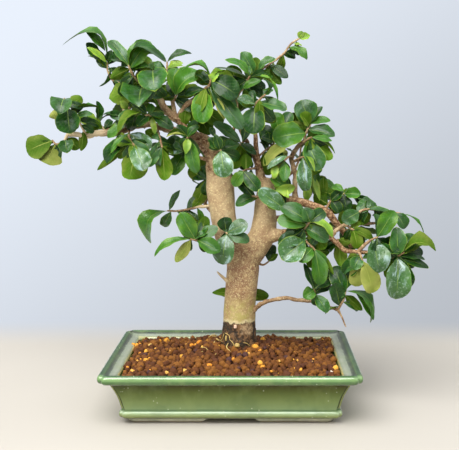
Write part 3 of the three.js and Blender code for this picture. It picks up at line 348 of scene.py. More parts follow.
# Shoots: a route of [x, z, y], and leaves of [root x, root z, tip x, tip z, lean, width, roll, bow].
# One look letter a leaf: d dark, m with painted sheen, s with strong painted sheen and shiny, g fresh green,
# y young, o olive underside, p paler. A capital has a blunt tip whatever its width.
shoots = {
    "far_left_tip": {"route": [[-165, 266, 1], [-170, 258, -4], [-177, 256, -6], [-181, 260, -7]],
        "looks": "opmm", "leaves": [[-180, 259, -206, 248, 2, 25, 15, 2],
        [-177, 257, -189, 237, 9, 24, 175, 2], [-168, 260, -166, 248, 8, 15, 10, 1],
        [-167, 263, -154, 251, -3, 12, 175, 1]]},
    "far_left_crown": {"route": [[-147, 264, 5], [-152, 275, -3], [-160, 286, -9], [-167, 294, -13],
        [-169, 302, -14]], "looks": "dmoymmo", "leaves": [[-166, 291, -163, 267, 10, 24, 5, 2],
        [-169, 301, -173, 285, 15, 21, 0, 4], [-166, 293, -151, 303, -4, 13, 170, 1],
        [-165, 291, -184, 283, -6, 11, 160, 1], [-162, 288, -135, 296, -3, 11, 72, 1],
        [-158, 284, -141, 287, 5, 8, 20, 1], [-150, 270, -150, 250, -6, 9, 180, 1]]},
    "left_arm_outer": {"route": [[-127, 267, 9], [-131, 273, 16], [-137, 279, 22]], "looks": "doddo",
        "leaves": [[-131, 273, -150, 281, 12, 10, 35, 1], [-137, 276, -154, 286, -5, 14, 175, 1],
        [-136, 277, -135, 299, 2, 11, 55, 1], [-134, 276, -115, 284, -3, 5, 80, 5],
        [-133, 274, -148, 266, 2, 7, 190, 1]]},
    "left_arm_middle": {"route": [[-109, 270, 11], [-107, 278, 1], [-101, 284, -8], [-96, 287, -13]],
        "looks": "mmgm", "leaves": [[-98, 286, -114, 280, 9, 14, 20, 1],
        [-105, 281, -130, 288, -6, 10, 40, 1], [-106, 279, -126, 263, 5, 12, 20, 1],
        [-106, 280, -122, 272, -6, 9, 150, 1]]},
    "left_arm_upper": {"route": [[-79, 284, 0], [-84, 285, -7], [-88, 285, -10]], "looks": "odydg",
        "leaves": [[-86, 284, -116, 264, 14, 11, 40, 10], [-84, 283, -96, 275, 9, 12, 10, 1],
        [-80, 281, -78, 266, 6, 6, 0, 1], [-81, 283, -60, 273, 9, 13, 20, 1],
        [-83, 285, -82, 297, -2, 8, 0, 1]]},
    "left_arm_under": {"route": [[-103, 273, 12], [-104, 266, -6], [-103, 260, -15], [-98, 254, -21]],
        "looks": "sgdooos", "leaves": [[-103, 266, -82, 253, 10, 16, 0, 2],
        [-104, 266, -123, 249, 8, 8, 20, 0], [-104, 264, -131, 239, -6, 16, 15, 2],
        [-104, 262, -135, 230, -16, 9, 170, 1], [-102, 260, -120, 240, -10, 12, 180, 1],
        [-98, 254, -103, 220, 4, 26, 170, 2], [-98, 255, -88, 229, 13, 19, 5, 2]]},
    "left_arm_inner": {"route": [[-76, 273, 12], [-74, 265, 0], [-72, 257, -10], [-71, 252, -13]],
        "looks": "moom", "leaves": [[-73, 260, -84, 233, 8, 11, 25, 1],
        [-71, 252, -68, 220, -2, 16, 175, 2], [-74, 262, -88, 269, 2, 10, 160, 3],
        [-72, 256, -60, 246, -8, 10, 170, 1]]},
    "leader_side": {"route": [[-41, 245, 8], [-45, 247.5, 14], [-49, 249, 18]], "looks": "sgo",
        "leaves": [[-48, 249, -67, 259, 3, 18, 10, 1], [-48, 249, -61, 225, 7, 16, 0, 2],
        [-42, 245.5, -40, 236, -4, 9, 180, 0]]},
    "leader_front": {"route": [[-42, 266, 9], [-44, 263, -4], [-46, 262, -13]], "looks": "gmdddy",
        "leaves": [[-44, 262, -37, 227, 7, 14, 0, 3], [-45, 262, -66, 264, 2, 13, 80, 2],
        [-44, 264, -37, 280, 6, 11, 0, 1], [-45, 263, -56, 275, 4, 10, 0, 1],
        [-46, 262, -52, 254, -3, 8, 10, 1], [-45, 261, -47, 247, 8, 8, 10, 1]]},
    "top_left_front": {"route": [[-88, 312, 10], [-93, 316, 2], [-97, 321, -4], [-103, 330, -10]],
        "looks": "moogg", "leaves": [[-91, 311, -93, 287, 27, 34, 0, 4],
        [-91, 313, -111, 319, 6, 9, 70, 2], [-98, 317, -122, 301, -8, 22, 178, 2],
        [-96, 320, -90, 329, -2, 7, 30, 1], [-99, 325, -84, 334, 6, 12, 40, 4]]},
    "top_left_arch": {"route": [[-100, 325, -5], [-103, 331, -9], [-105, 335, -11]], "looks": "gdogmg",
        "leaves": [[-103, 331, -84, 359, 4, 21, 15, 3], [-103, 333, -66, 338, -2, 17, 45, 17],
        [-104, 331, -122, 322, -6, 12, 150, 1], [-103, 332, -97, 342, -4, 8, 0, 1],
        [-105, 334, -124, 361, -7, 13, 25, 2], [-105, 334, -108, 354, -4, 13, 15, 1]]},
    "top_left_tall": {"route": [[-88, 312, 10], [-101, 313.5, 15], [-113, 317, 19], [-121, 320, 22],
        [-125, 328, 24], [-125.5, 338, 26]], "looks": "GdoddgM",
        "leaves": [[-126, 339, -168, 361, 6, 17, 62, 23], [-126, 336, -147, 357, 4, 13, 20, -2],
        [-126, 337, -145, 346, -7, 9, 40, 1], [-125, 337, -121, 350, 3, 8, 10, 1],
        [-125, 335, -113, 348, -5, 10, 0, 1], [-125, 336, -132, 313, 5, 8, 75, 5],
        [-125, 338, -110, 346, 5, 12, 25, 1]]},
    "top_left_hero": {"route": [[-76, 304, 8], [-79, 317, -2], [-80, 330, -9]], "looks": "myg",
        "leaves": [[-80, 330, -78, 308, 18, 29, 5, 4], [-80, 328, -98, 326, 5, 11, 40, 4],
        [-80, 330, -93, 343, -4, 12, 30, 2]]},
    "top_left_back": {"route": [[-63, 308, 24], [-65, 320, 28], [-66, 331, 31], [-66, 338, 32]],
        "looks": "ddymo", "leaves": [[-66, 338, -42, 348, 2, 10, 35, 3],
        [-66, 337, -90, 347, -2, 13, 50, 4], [-66, 331, -50, 337, 5, 9, 20, 2],
        [-66, 330, -85, 334, 4, 14, 20, 1], [-64, 314, -74, 307, -4, 11, 175, 1]]},
    "top_middle_left": {"route": [[-60, 298, 16], [-58, 302, 8], [-56, 305, 2]], "looks": "godog",
        "leaves": [[-57, 304, -32, 327, 6, 21, 25, 8], [-56, 304, -36, 313, -7, 14, 170, 2],
        [-57, 303, -46, 298, -6, 8, 0, 1], [-58, 302, -72, 309, -6, 12, 175, 1],
        [-57, 304, -59, 333, -4, 16, 10, 2]]},
    "top_middle": {"route": [[-32, 307, -4], [-27, 312, -11], [-23, 316, -16], [-22, 322, -19]],
        "looks": "gmyddgmyo", "leaves": [[-29, 310, -30, 276, 10, 21, 0, 3],
        [-23, 313, 9, 270, 9, 17, 10, 3], [-25, 312, -8, 282, 2, 8, 30, 1],
        [-22, 320, 5, 305, 9, 22, 0, 3], [-22, 318, 5, 297, 14, 9, 45, 3],
        [-22, 320, -50, 333, 2, 11, 50, 9], [-24, 315, -36, 329, -6, 14, 170, 2],
        [-23, 318, -15, 327, 5, 9, 0, 1], [-22, 321, -9, 331, -4, 10, 50, 1]]},
    "top_middle_back": {"route": [[-36, 303, -2], [-38, 299, 8], [-40, 294, 16]], "looks": "oddd",
        "leaves": [[-38, 299, -45, 279, 2, 16, 175, 2], [-39, 297, -22, 290, 4, 14, 170, 1],
        [-39, 294, -23, 265, -6, 17, 175, 2], [-39, 297, -10, 276, -2, 15, 170, 1]]},
    "right_shoot_tip": {"route": [[16, 321, 26], [29, 331, 26], [39, 337.5, 28], [48, 344, 28],
        [52, 348, 28], [58, 356, 28], [67, 361.5, 28]], "looks": "yygyddmmgg",
        "leaves": [[67, 361, 77, 365, 1, 8, 10, 0], [59, 357, 69, 355, 3, 6, 40, 0],
        [56, 352, 74, 340, 6, 12, 30, 3], [67, 361, 69, 369, 0, 7, 0, 0],
        [36, 335, 55, 322, 5, 11, 10, 1], [35, 334, 48, 315, 2, 10, 175, 1],
        [24, 328, 43, 341, 5, 11, 30, 3], [20, 325, 8, 348, 2, 14, 10, 2],
        [19, 324, 23, 343, -3, 13, 170, 1], [26, 329, 39, 321, -2, 13, 15, 1]]},
    "right_shoot_base": {"route": [[5, 305, 27], [9, 311, 18], [14, 318, 12], [17, 324, 9]],
        "looks": "gdgodo", "leaves": [[16, 324, -6, 343, 4, 10, 35, 5],
        [15, 322, -18, 335, -3, 10, 50, 2], [16, 322, 48, 303, 9, 9, 60, 8],
        [12, 315, 29, 323, 6, 13, 10, 1], [10, 312, 32, 304, 5, 12, 15, 1],
        [7, 308, -10, 318, 3, 11, 25, 1]]},
    "middle_front": {"route": [[22, 286, 6], [22, 294, -8], [26, 300, -14], [33, 306, -17]],
        "looks": "dmsodg", "leaves": [[22, 294, 21, 265, 9, 23, 0, 3], [24, 297, 54, 290, 6, 14, 20, 2],
        [22, 296, 4, 301, 4, 11, 20, 1], [23, 296, 42, 278, -6, 14, 170, 2],
        [33, 305, 32, 322, 2, 8, 65, 4], [30, 303, 40, 311, -3, 8, 20, 1]]},
    "middle_low": {"route": [[13, 260, 26], [9, 257, 16], [7, 255, 10]], "looks": "mddmdo",
        "leaves": [[7, 255, -13, 250, 6, 13, 20, 1], [8, 256, 24, 247, 9, 9, 45, 2],
        [9, 257, 12, 229, -2, 14, 0, 2], [8, 257, -22, 276, 3, 13, 20, 2],
        [10, 258, 18, 236, -6, 13, 175, 1], [8, 256, 1, 231, -3, 14, 175, 1]]},
    "fork_front": {"route": [[-19, 246, 9], [-15, 249, -4], [-12, 250, -12]], "looks": "sdd",
        "leaves": [[-12, 250, -8, 223, 9, 20, 0, 3], [-13, 250, -25, 262, 4, 11, 10, 1],
        [-13, 251, -18, 266, 2, 9, 0, 1]]},
    "inner_front": {"route": [[25, 232, 18], [16, 231, 4], [10, 229, -5]], "looks": "dgd",
        "leaves": [[10, 229, 26, 209, 6, 14, 5, 2], [11, 230, 0, 214, 2, 13, 10, 1],
        [13, 230, 13, 246, -5, 12, 175, 1]]},
    "left_limb_back": {"route": [[-22, 219, 14], [-28, 222, 24]], "looks": "ooo",
        "leaves": [[-26, 221, -39, 193, 0, 15, 180, 2], [-28, 222, -34, 244, -5, 13, 180, 1],
        [-28, 222, -45, 230, -2, 14, 170, 1]]},
    "left_low": {"route": [[-30, 193.5, 16], [-38, 192.5, 20], [-48, 190, 24], [-58, 189, 28],
        [-66, 189, 31]], "looks": "gmsg", "leaves": [[-66, 190, -86, 159, 7, 22, 40, 16],
        [-64, 190, -53, 210, 4, 8, 20, 0], [-57, 189, -31, 177, 8, 13, 20, 2],
        [-36, 192, -31, 172, -2, 9, 40, 1]]},
    "left_front": {"route": [[-28, 159, -5], [-37, 160, -12], [-43, 161, -15]], "looks": "ggpgmm",
        "leaves": [[-37, 160, -53, 187, 7, 18, 0, 2], [-43, 161, -80, 146, 4, 11, 35, 5],
        [-42, 160, -57, 138, 2, 11, 175, 1], [-36, 160, -13, 148, 9, 15, 5, 2],
        [-36, 161, -15, 173, 0, 13, 20, 1], [-34, 160, -27, 184, -4, 13, 170, 1]]},
    "fork_low_front": {"route": [[-7, 171, 4], [-7, 168, -4], [-6, 166, -10]], "looks": "sdms",
        "leaves": [[-7, 166, -11, 136, 9, 22, 0, 3], [-7, 168, -9, 183, 3, 15, 5, 1],
        [-6, 166, 16, 160, 6, 13, 10, 1], [-6, 167, 16, 176, 1, 16, 15, 1]]},
    "fork_back_right": {"route": [[24, 138, 18], [30, 135, 20], [36, 139, 22]], "looks": "dd",
        "leaves": [[36, 139, 39, 158, -1, 12, 10, 1], [35, 138, 45, 146, -3, 6, 175, 0]]},
    "trunk_back_low": {"route": [[8, 106, 31], [8, 107, 42]], "looks": "ooo",
        "leaves": [[8, 108, -21, 108, 1, 9, 10, 1], [8, 107, 36, 104, 1, 13, 175, 1],
        [8, 107, 16, 124, -12, 14, 175, 1]]},
    "right_knob_upper": {"route": [[68, 166, -8], [72, 172, -16], [77, 178, -22]], "looks": "mygmmdg",
        "leaves": [[72, 172, 95, 158, 8, 15, 15, 3], [76, 177, 100, 164, 12, 12, 40, 6],
        [74, 174, 45, 181, 5, 15, 10, 2], [76, 178, 49, 195, -2, 17, 5, 2],
        [77, 178, 72, 192, 4, 13, 5, 1], [77, 178, 92, 190, 0, 14, 0, 2],
        [73, 173, 92, 151, 1, 14, 172, 2]]},
    "right_limb_front": {"route": [[46, 198, 14], [53, 193, 2], [54, 189, -6]], "looks": "sg",
        "leaves": [[54, 189, 24.5, 210, 7, 17, 8, 2], [53, 191, 66, 177, 2, 10, 10, 1]]},
    "right_limb_side": {"route": [[32, 203, 14], [25, 203, 6], [19, 204, 2]], "looks": "md",
        "leaves": [[23, 203, 2, 196, 2, 12, 20, 1], [19, 204, 6, 219, 0, 16, 10, 1]]},
    "right_stem_low": {"route": [[62, 213, 15], [58, 213, 5], [54, 211, 0]], "looks": "yyg",
        "leaves": [[62, 213, 42, 214, 10, 11, 10, 1], [55, 211, 42, 204, 2, 10, 30, 1],
        [54, 212, 38, 223, -2, 12, 10, 1]]},
    "right_stem_left": {"route": [[60, 243, 17], [55, 243, 7], [51, 239, 1]], "looks": "mmgy",
        "leaves": [[56, 244, 30, 237, 6, 16, 168, 3], [52, 240, 34, 232, 9, 9, 25, 1],
        [51, 239, 51, 218, 5, 11, 0, 1], [52, 240, 40, 221, -2, 10, 172, 1]]},
    "right_crown_low": {"route": [[70, 257, 16], [74, 260, 5], [79, 263, -3]], "looks": "mogo",
        "leaves": [[73, 259, 87, 229, 9, 20, 5, 3], [78, 262, 97, 240, -4, 14, 175, 2],
        [79, 263, 99, 259, 0, 9, 30, 1], [79, 263, 105, 250, 3, 8, 45, 2]]},
    "right_crown_top": {"route": [[71, 259, 17], [73, 266, 16], [75, 272, 18], [78, 276, 19]],
        "looks": "gmgmom", "leaves": [[73, 267, 40, 262, 8, 25, 5, 3], [75, 270, 102, 264, 6, 14, 10, 2],
        [78, 276, 97, 281, 4, 11, 30, 1], [76, 275, 68, 300, 0, 24, 5, 2],
        [76, 274, 65, 287, 8, 14, 20, 1], [78, 276, 90, 293, -5, 10, 30, 1]]},
    "right_stem_right": {"route": [[62, 239, 17], [67, 242, 10], [71, 243, 5]], "looks": "sdg",
        "leaves": [[70, 242, 73, 209, 8, 15, 0, 3], [71, 243, 85, 233, -2, 12, 0, 1],
        [69, 242, 84, 226, -8, 14, 172, 1]]},
    "right_stem_inner": {"route": [[62, 225, 18], [69, 225, 24], [76, 224, 26], [82, 222, 27]],
        "looks": "ygogg", "leaves": [[77, 223.5, 87, 198, 5, 8, 20, 1], [73, 224, 74, 198, 1, 10, 10, 1],
        [82, 222, 94, 207, 2, 13, 175, 1], [81, 222, 87, 236, -4, 10, 10, 1],
        [82, 221, 105, 211, 0, 10, 15, 1]]},
    "right_arm_upper": {"route": [[92, 189, 6], [97, 198, 12], [103, 204, 16], [112, 206, 18],
        [123, 204, 20]], "looks": "dgmddddd", "leaves": [[97, 199, 110, 211, 3, 10, 10, 1],
        [111, 206, 128, 206, 5, 12, 0, 1], [122, 204, 145, 190, 1, 11, 20, 1],
        [110, 206, 114, 189, 5, 13, 0, 1], [98, 200, 107, 187, 5, 12, 10, 1],
        [104, 204, 88, 209, -2, 13, 175, 1], [96, 195, 81, 205, -6, 13, 170, 1],
        [95, 193, 109, 195, -8, 13, 170, 1]]},
    "right_arm_long": {"route": [[116, 176, -4], [122, 184, -9], [130, 190, -12], [145, 190, -10],
        [160, 187.5, -6], [171, 186, -3]], "looks": "mmmgdom",
        "leaves": [[127, 188, 110, 179, 6, 15, 5, 1], [133, 190, 163, 183, 3, 10, 45, 2],
        [162, 187, 173, 172, 4, 14, 10, 1], [171, 186, 190, 166, 3, 7, 55, 5],
        [140, 190, 150, 176, -2, 12, 10, 1], [131, 190, 130, 176, -5, 15, 175, 1],
        [124, 186, 136, 200, -4, 13, 10, 1]]},
    "right_arm_inner": {"route": [[112, 175, -5], [117, 172, -13], [121, 170, -18]], "looks": "oodo",
        "leaves": [[118, 172, 141, 160, 4, 10, 30, 2], [120, 170, 125, 151, 2, 13, 0, 1],
        [119, 171, 131, 157, -5, 10, 172, 1], [117, 172, 128, 178, -2, 8, 20, 0]]},
    "right_arm_node": {"route": [[134, 157, -24], [140, 161, -28], [145, 163, -31]], "looks": "gsd",
        "leaves": [[144, 163, 161, 189, 6, 17, 5, 2], [135, 158, 146, 127, 12, 23, 5, 3],
        [142, 162, 150, 154, -3, 8, 20, 0]]},
    "right_arm_under": {"route": [[126, 148, -20], [128, 143, -27], [130, 139, -30]], "looks": "ppmd",
        "leaves": [[128, 143, 122, 113, 0, 16, 0, 2], [130, 139, 141, 107, 4, 19, 0, 2],
        [128, 144, 120, 131, 7, 13, 5, 1], [127, 146, 112, 125, 1, 16, 5, 2]]},
    "right_arm_crescent": {"route": [[104, 157, -17], [105, 161, -11]], "looks": "oo",
        "leaves": [[105, 161, 108, 134, 1, 13, 170, 2], [105, 161, 118, 157, 2, 8, 175, 1]]},
    "right_tip": {"route": [[148, 145.5, -24], [161, 142, -29], [167, 145, -32], [171, 148, -34]],
        "looks": "momsddmsgo", "leaves": [[164, 144, 164, 172, 4, 16, 5, 2],
        [171, 149, 203, 150, 6, 18, 35, 11], [170, 147, 182, 166, -4, 15, 10, 1],
        [165, 142, 164, 101, 10, 25, 0, 4], [166, 143, 177, 112, 1, 14, 0, 2],
        [163, 141, 197, 134, 4, 10, 15, 1], [165, 143, 192, 140, 0, 9, 40, 2],
        [160, 142, 148, 150, 4, 13, 5, 1], [154, 144, 156, 164, -5, 14, 170, 1],
        [162, 141, 152, 124, -5, 10, 175, 1]]},
    "right_knob_hanging": {"route": [[67, 166.5, -7], [71, 161, -14], [76, 156, -19], [82, 150, -22]],
        "looks": "ssgggdodd", "leaves": [[70, 163, 45, 156, 9, 16, 10, 2],
        [72, 160, 48, 139, 6, 26, 0, 3], [80, 152, 66, 137, 7, 14, 5, 1], [82, 150, 88, 115, 8, 16, 5, 2],
        [81, 151, 92, 134, 1, 12, 0, 1], [78, 154, 84, 163, 3, 8, 0, 1],
        [82, 150, 101, 127, -4, 7, 150, 1], [81, 151, 99, 148, -6, 14, 170, 1],
        [77, 155, 79, 132, -5, 13, 175, 1]]},
    "low_right_end": {"route": [[105, 91, -13], [109, 97, -16], [111.5, 104, -17], [113, 111, -18],
        [116, 118, -18]], "looks": "dgodo", "leaves": [[112, 105, 101, 134, -4, 17, 0, 3],
        [113, 109, 141, 80, 5, 17, 45, 13], [112, 105, 129, 90, -4, 10, 170, 1],
        [106, 92, 101, 119, 7, 15, 0, 0], [106, 92, 91, 87, 3, 6, 80, 1]]},
    "low_right_middle": {"route": [[84, 97, -8], [82, 104, -14], [81, 111, -18]], "looks": "gmdd",
        "leaves": [[81, 110, 71, 103, 7, 13, 5, 1], [84, 106, 95, 88, 9, 13, 10, 1],
        [81, 111, 71, 137, -4, 8, 20, 1], [81, 111, 103, 128, -3, 16, 5, 3]]},
    "inner_back": {"route": [[24, 243, 19], [32, 249, 25], [41, 257, 30], [48, 267, 34]],
        "looks": "gpdgmdg", "leaves": [[30, 248, 37, 225, 0, 16, 170, 1],
        [33, 250, 55, 246, 2, 14, 175, 1], [38, 254, 31, 275, -2, 15, 10, 1],
        [46, 264, 42, 288, 0, 16, 5, 1], [48, 267, 58, 288, -4, 14, 10, 1],
        [42, 258, 27, 262, 4, 12, 20, 1], [48, 266, 64, 265, -2, 14, 170, 1]]},
    "back_left": {"route": [[-48, 271, 55], [-60, 282, 62], [-74, 288, 66], [-88, 290, 66]],
        "pairs": 3, "seed": 3},
    "back_top": {"route": [[1, 275, 55], [4, 287, 60], [6, 298, 62], [4, 308, 60]],
        "pairs": 3, "seed": 8},
    "back_right": {"route": [[61, 229, 61], [66, 240, 66], [68, 252, 68], [66, 262, 66]],
        "pairs": 3, "seed": 5},
    "back_low": {"route": [[86, 175, 65], [102, 172, 66], [118, 170, 62]], "pairs": 3, "seed": 12},
    "back_arm": {"route": [[-108, 289, 30], [-101, 294, 38], [-93, 298, 42]], "pairs": 2, "seed": 21},
    "back_middle": {"route": [[-28, 196, 39], [-23, 208, 50], [-18, 222, 58], [-16, 236, 62]],
        "pairs": 3, "seed": 33},
}


# Bark: tan, with brown mottles, a dark foot where it was wet and a greenish stretch above it
barkLook = {
    "footTop": 0.078,  # metres above the table
    "greenTop": 0.102,
    "voxel": 0.0009,
    "thickFrom": 4.1,  # limbs at least this thick at their root are carved as one piece
    "sides": 26,
    "thinSides": 14,  # of limbs up to the radius thinBelow at their root
    "thinBelow": 8,
    "smoothing": 9,
    "marksPerRow": 8,  # places along a limb where its girth is looked up, for each row of its route
    "girthReach": 0.024,
    "slenderBelow": 7.5,  # limbs thinner than this radius get rough brown bark
    "barePatch": (14.5, 71, 2),  # x, z and depth of the worn place on the foot
    "ridge": 0.3,  # millimetres
    "crust": 0.9,
    # where limbs were cut or join: x, z, depth and reach of the rough brown bark there, in millimetres
    "scars": ((-17, 228, 9, 9), (-24, 236, 7, 9), (-26, 248, 7, 9), (-31, 261, 8, 10), (33, 222, 20, 8),
        (-58, 281, 6, 7), (26, 236, 18, 9), (50, 166, 8, 5)),
    # twigs with pale bark: x, z, depth and reach
    "pale": ((-11, 124, 9, 11), (-27, 195, 14, 15), (-150, 265, 4, 26)),
}


def barkMaterial():
    material, tree, shader = newMaterial("bark")
    place = objectPlace(tree)
    height = split(tree, place)["Z"]
    crust, slender = stored(tree, "crust"), stored(tree, "slender")
    broad = grain(tree, place, 45, 4, 0.6, 0.6)
    fine = grain(tree, place, 420, 4, 0.7)
    tan = ramp(tree, broad,
               [(0.3, rgb(166, 132, 92)), (0.5, rgb(194, 166, 120)), (0.7, rgb(212, 188, 144))])
    mottles = span(tree, grain(tree, place, 120, 6, 0.8, 0.8), 0.42, 0.66)
    nearFork = span(tree, height, 0.084, 0.118, 0.35, 1.0)
    above = span(tree, height, 0.15, 0.175, 1.0, 0.42)
    colour = mix(tree, times(tree, mottles, times(tree, nearFork, above)), tan, rgb(132, 92, 66))
    patches = span(tree, grain(tree, place, 84, 5, 0.8, 1.2), 0.48, 0.56, 0, 0.62)
    patches = times(tree, times(tree, patches, nearFork), above)
    colour = mix(tree, patches, colour, rgb(128, 88, 68))
    colour = mix(tree, span(tree, height, 0.15, 0.18, 0, 0.4), colour, rgb(222, 198, 152))
    colour = mix(tree, span(tree, fine, 0.54, 0.64, 0, 0.6), colour, rgb(228, 208, 158))
    clouds = span(tree, grain(tree, place, 66, 5, 0.75, 1.0), 0.46, 0.6, 0, 0.38)
    colour = mix(tree, clouds, colour, rgb(160, 116, 84))
    specks = span(tree, grain(tree, place, 480, 3, 0.6), 0.57, 0.65, 0, 0.25)
    colour = mix(tree, specks, colour, rgb(122, 86, 56))
    flecks = span(tree, grain(tree, place, 640, 1, 0.5), 0.6, 0.66, 0, 0.6)
    colour = mix(tree, flecks, colour, rgb(234, 216, 160))
    brown = ramp(tree, fine,
                 [(0.36, rgb(84, 54, 34)), (0.5, rgb(140, 102, 68)), (0.62, rgb(202, 168, 126))])
    colour = mix(tree, maths(tree, "MAXIMUM", slender, crust), colour, brown)
    wobble = maths(tree, "MULTIPLY_ADD", grain(tree, place, 90, 5, 0.7), 0.016, -0.008)
    raised = maths(tree, "ADD", height, wobble)
    green = span(tree, raised, barkLook["greenTop"] - 0.014, barkLook["greenTop"] + 0.01, 1.0, 0.0)
    green = times(tree, green, span(tree, grain(tree, place, 150, 4, 0.7), 0.38, 0.6, 0.15, 0.8))
    colour = mix(tree, green, colour, rgb(176, 164, 92))
    lip = span(tree, raised, barkLook["footTop"] + 0.0008, barkLook["footTop"] + 0.003, 0.7, 0)
    colour = mix(tree, lip, colour, rgb(222, 206, 160))
    foot = span(tree, raised, barkLook["footTop"] - 0.001, barkLook["footTop"] + 0.0005, 0.97, 0.0)
    patch = distance(tree, place, atDepth(*barkLook["barePatch"]))
    stained = grain(tree, place, 170, 4, 0.65, 0.6)
    wet = ramp(tree, stained, [(0.38, rgb(24, 14, 8)), (0.5, rgb(52, 32, 18)), (0.6, rgb(120, 86, 54))])
    wet = mix(tree, span(tree, fine, 0.56, 0.64, 0, 0.45), wet, rgb(156, 114, 70))
    bare = ramp(tree, fine, [(0.36, rgb(118, 88, 60)), (0.58, rgb(206, 176, 134))])
    bareness = span(tree, maths(tree, "ADD", patch, wobble), 0.0045, 0.009, 0.66, 0.0)
    wet = mix(tree, bareness, wet, bare)
    colour = mix(tree, foot, colour, wet)
    relief = bump(tree, broad, 0.3, 0.0015, bump(tree, fine, 0.45, 0.0007))
    give(tree, shader, {"Base Color": colour, "Roughness": 0.72, "Normal": relief})
    return material


def twigMaterial():
    material, tree, shader = newMaterial("twigBark")
    place = objectPlace(tree)
    broad = grain(tree, place, 130, 4, 0.6, 0.5)
    fine = grain(tree, place, 700, 3, 0.6)
    colour = ramp(tree, broad,
                  [(0.3, rgb(112, 82, 56)), (0.5, rgb(156, 124, 88)), (0.7, rgb(202, 176, 134))])
    colour = mix(tree, span(tree, fine, 0.56, 0.68, 0, 0.65), colour, rgb(222, 198, 158))
    for x, z, y, reach in barkLook["pale"]:
        away = distance(tree, place, atDepth(x, z, y))
        close = span(tree, away, 0.6 * reach * mm, reach * mm, 0.7, 0)
        colour = mix(tree, close, colour, rgb(232, 210, 168))
    relief = bump(tree, fine, 0.8, 0.0006)
    give(tree, shader, {"Base Color": colour, "Roughness": 0.7, "Normal": relief})
    return material


# Centripetal curve through points, the same as the one that the part's twigs follow
class Curve:
    def __init__(self, points):
        self.points = points

    def at(self, share):
        points = self.points
        place = (len(points) - 1) * share
        i = min(int(place), len(points) - 2)
        weight = place - i
        b, c = points[i], points[i + 1]
        a = points[i - 1] if i > 0 else b * 2 - c
        d = points[i + 2] if i + 2 < len(points) else c * 2 - b
        gaps = ((a, b), (b, c), (c, d))
        before, across, after = (max((q - p).length_squared ** 0.25, 1e-4) for p, q in gaps)
        start = ((b - a) / before - (c - a) / (before + across) + (c - b) / across) * across
        end = ((c - b) / across - (d - b) / (across + after) + (d - c) / after) * across
        return (b + start * weight + (c * 3 - b * 3 - start * 2 - end) * weight ** 2
                + (b * 2 - c * 2 + start + end) * weight ** 3)

    def tangent(self, share):
        return (self.at(min(share + 1e-4, 1)) - self.at(max(share - 1e-4, 0))).normalized()


def radiusAt(radii, share):
    index = min(share * (len(radii) - 1), len(radii) - 1.001)
    low = int(index)
    return radii[low] + (radii[low + 1] - radii[low]) * (index - low)


# A round tube as a closed bmesh part, with low ridges that run along it
def addTube(shape, curve, radii, sides, steps, seed):
    rings = []
    across = Vector((0, -1, 0.01))
    for step in range(steps + 1):
        share = step / steps
        along = curve.tangent(share)
        across = (across - along * across.dot(along)).normalized()
        beside = across.cross(along)
        centre = curve.at(share)
        radius = radiusAt(radii, share)
        ring = []
        for side in range(sides):
            turn = 2 * math.pi * side / sides
            spoke = across * math.cos(turn) + beside * math.sin(turn)
            swell = 1 + 0.07 * noise.noise(spoke * 1.3 + Vector((0, 0, share * 2.2 + seed)))
            ring.append(shape.verts.new(placed(centre + spoke * radius * swell)))
        rings.append(ring)
    skin(shape, rings)


def curveOf(route):
    return Curve([atDepth(row[0], row[1], row[2]) for row in route])


def isThick(route):
    return route[0][3] >= barkLook["thickFrom"]


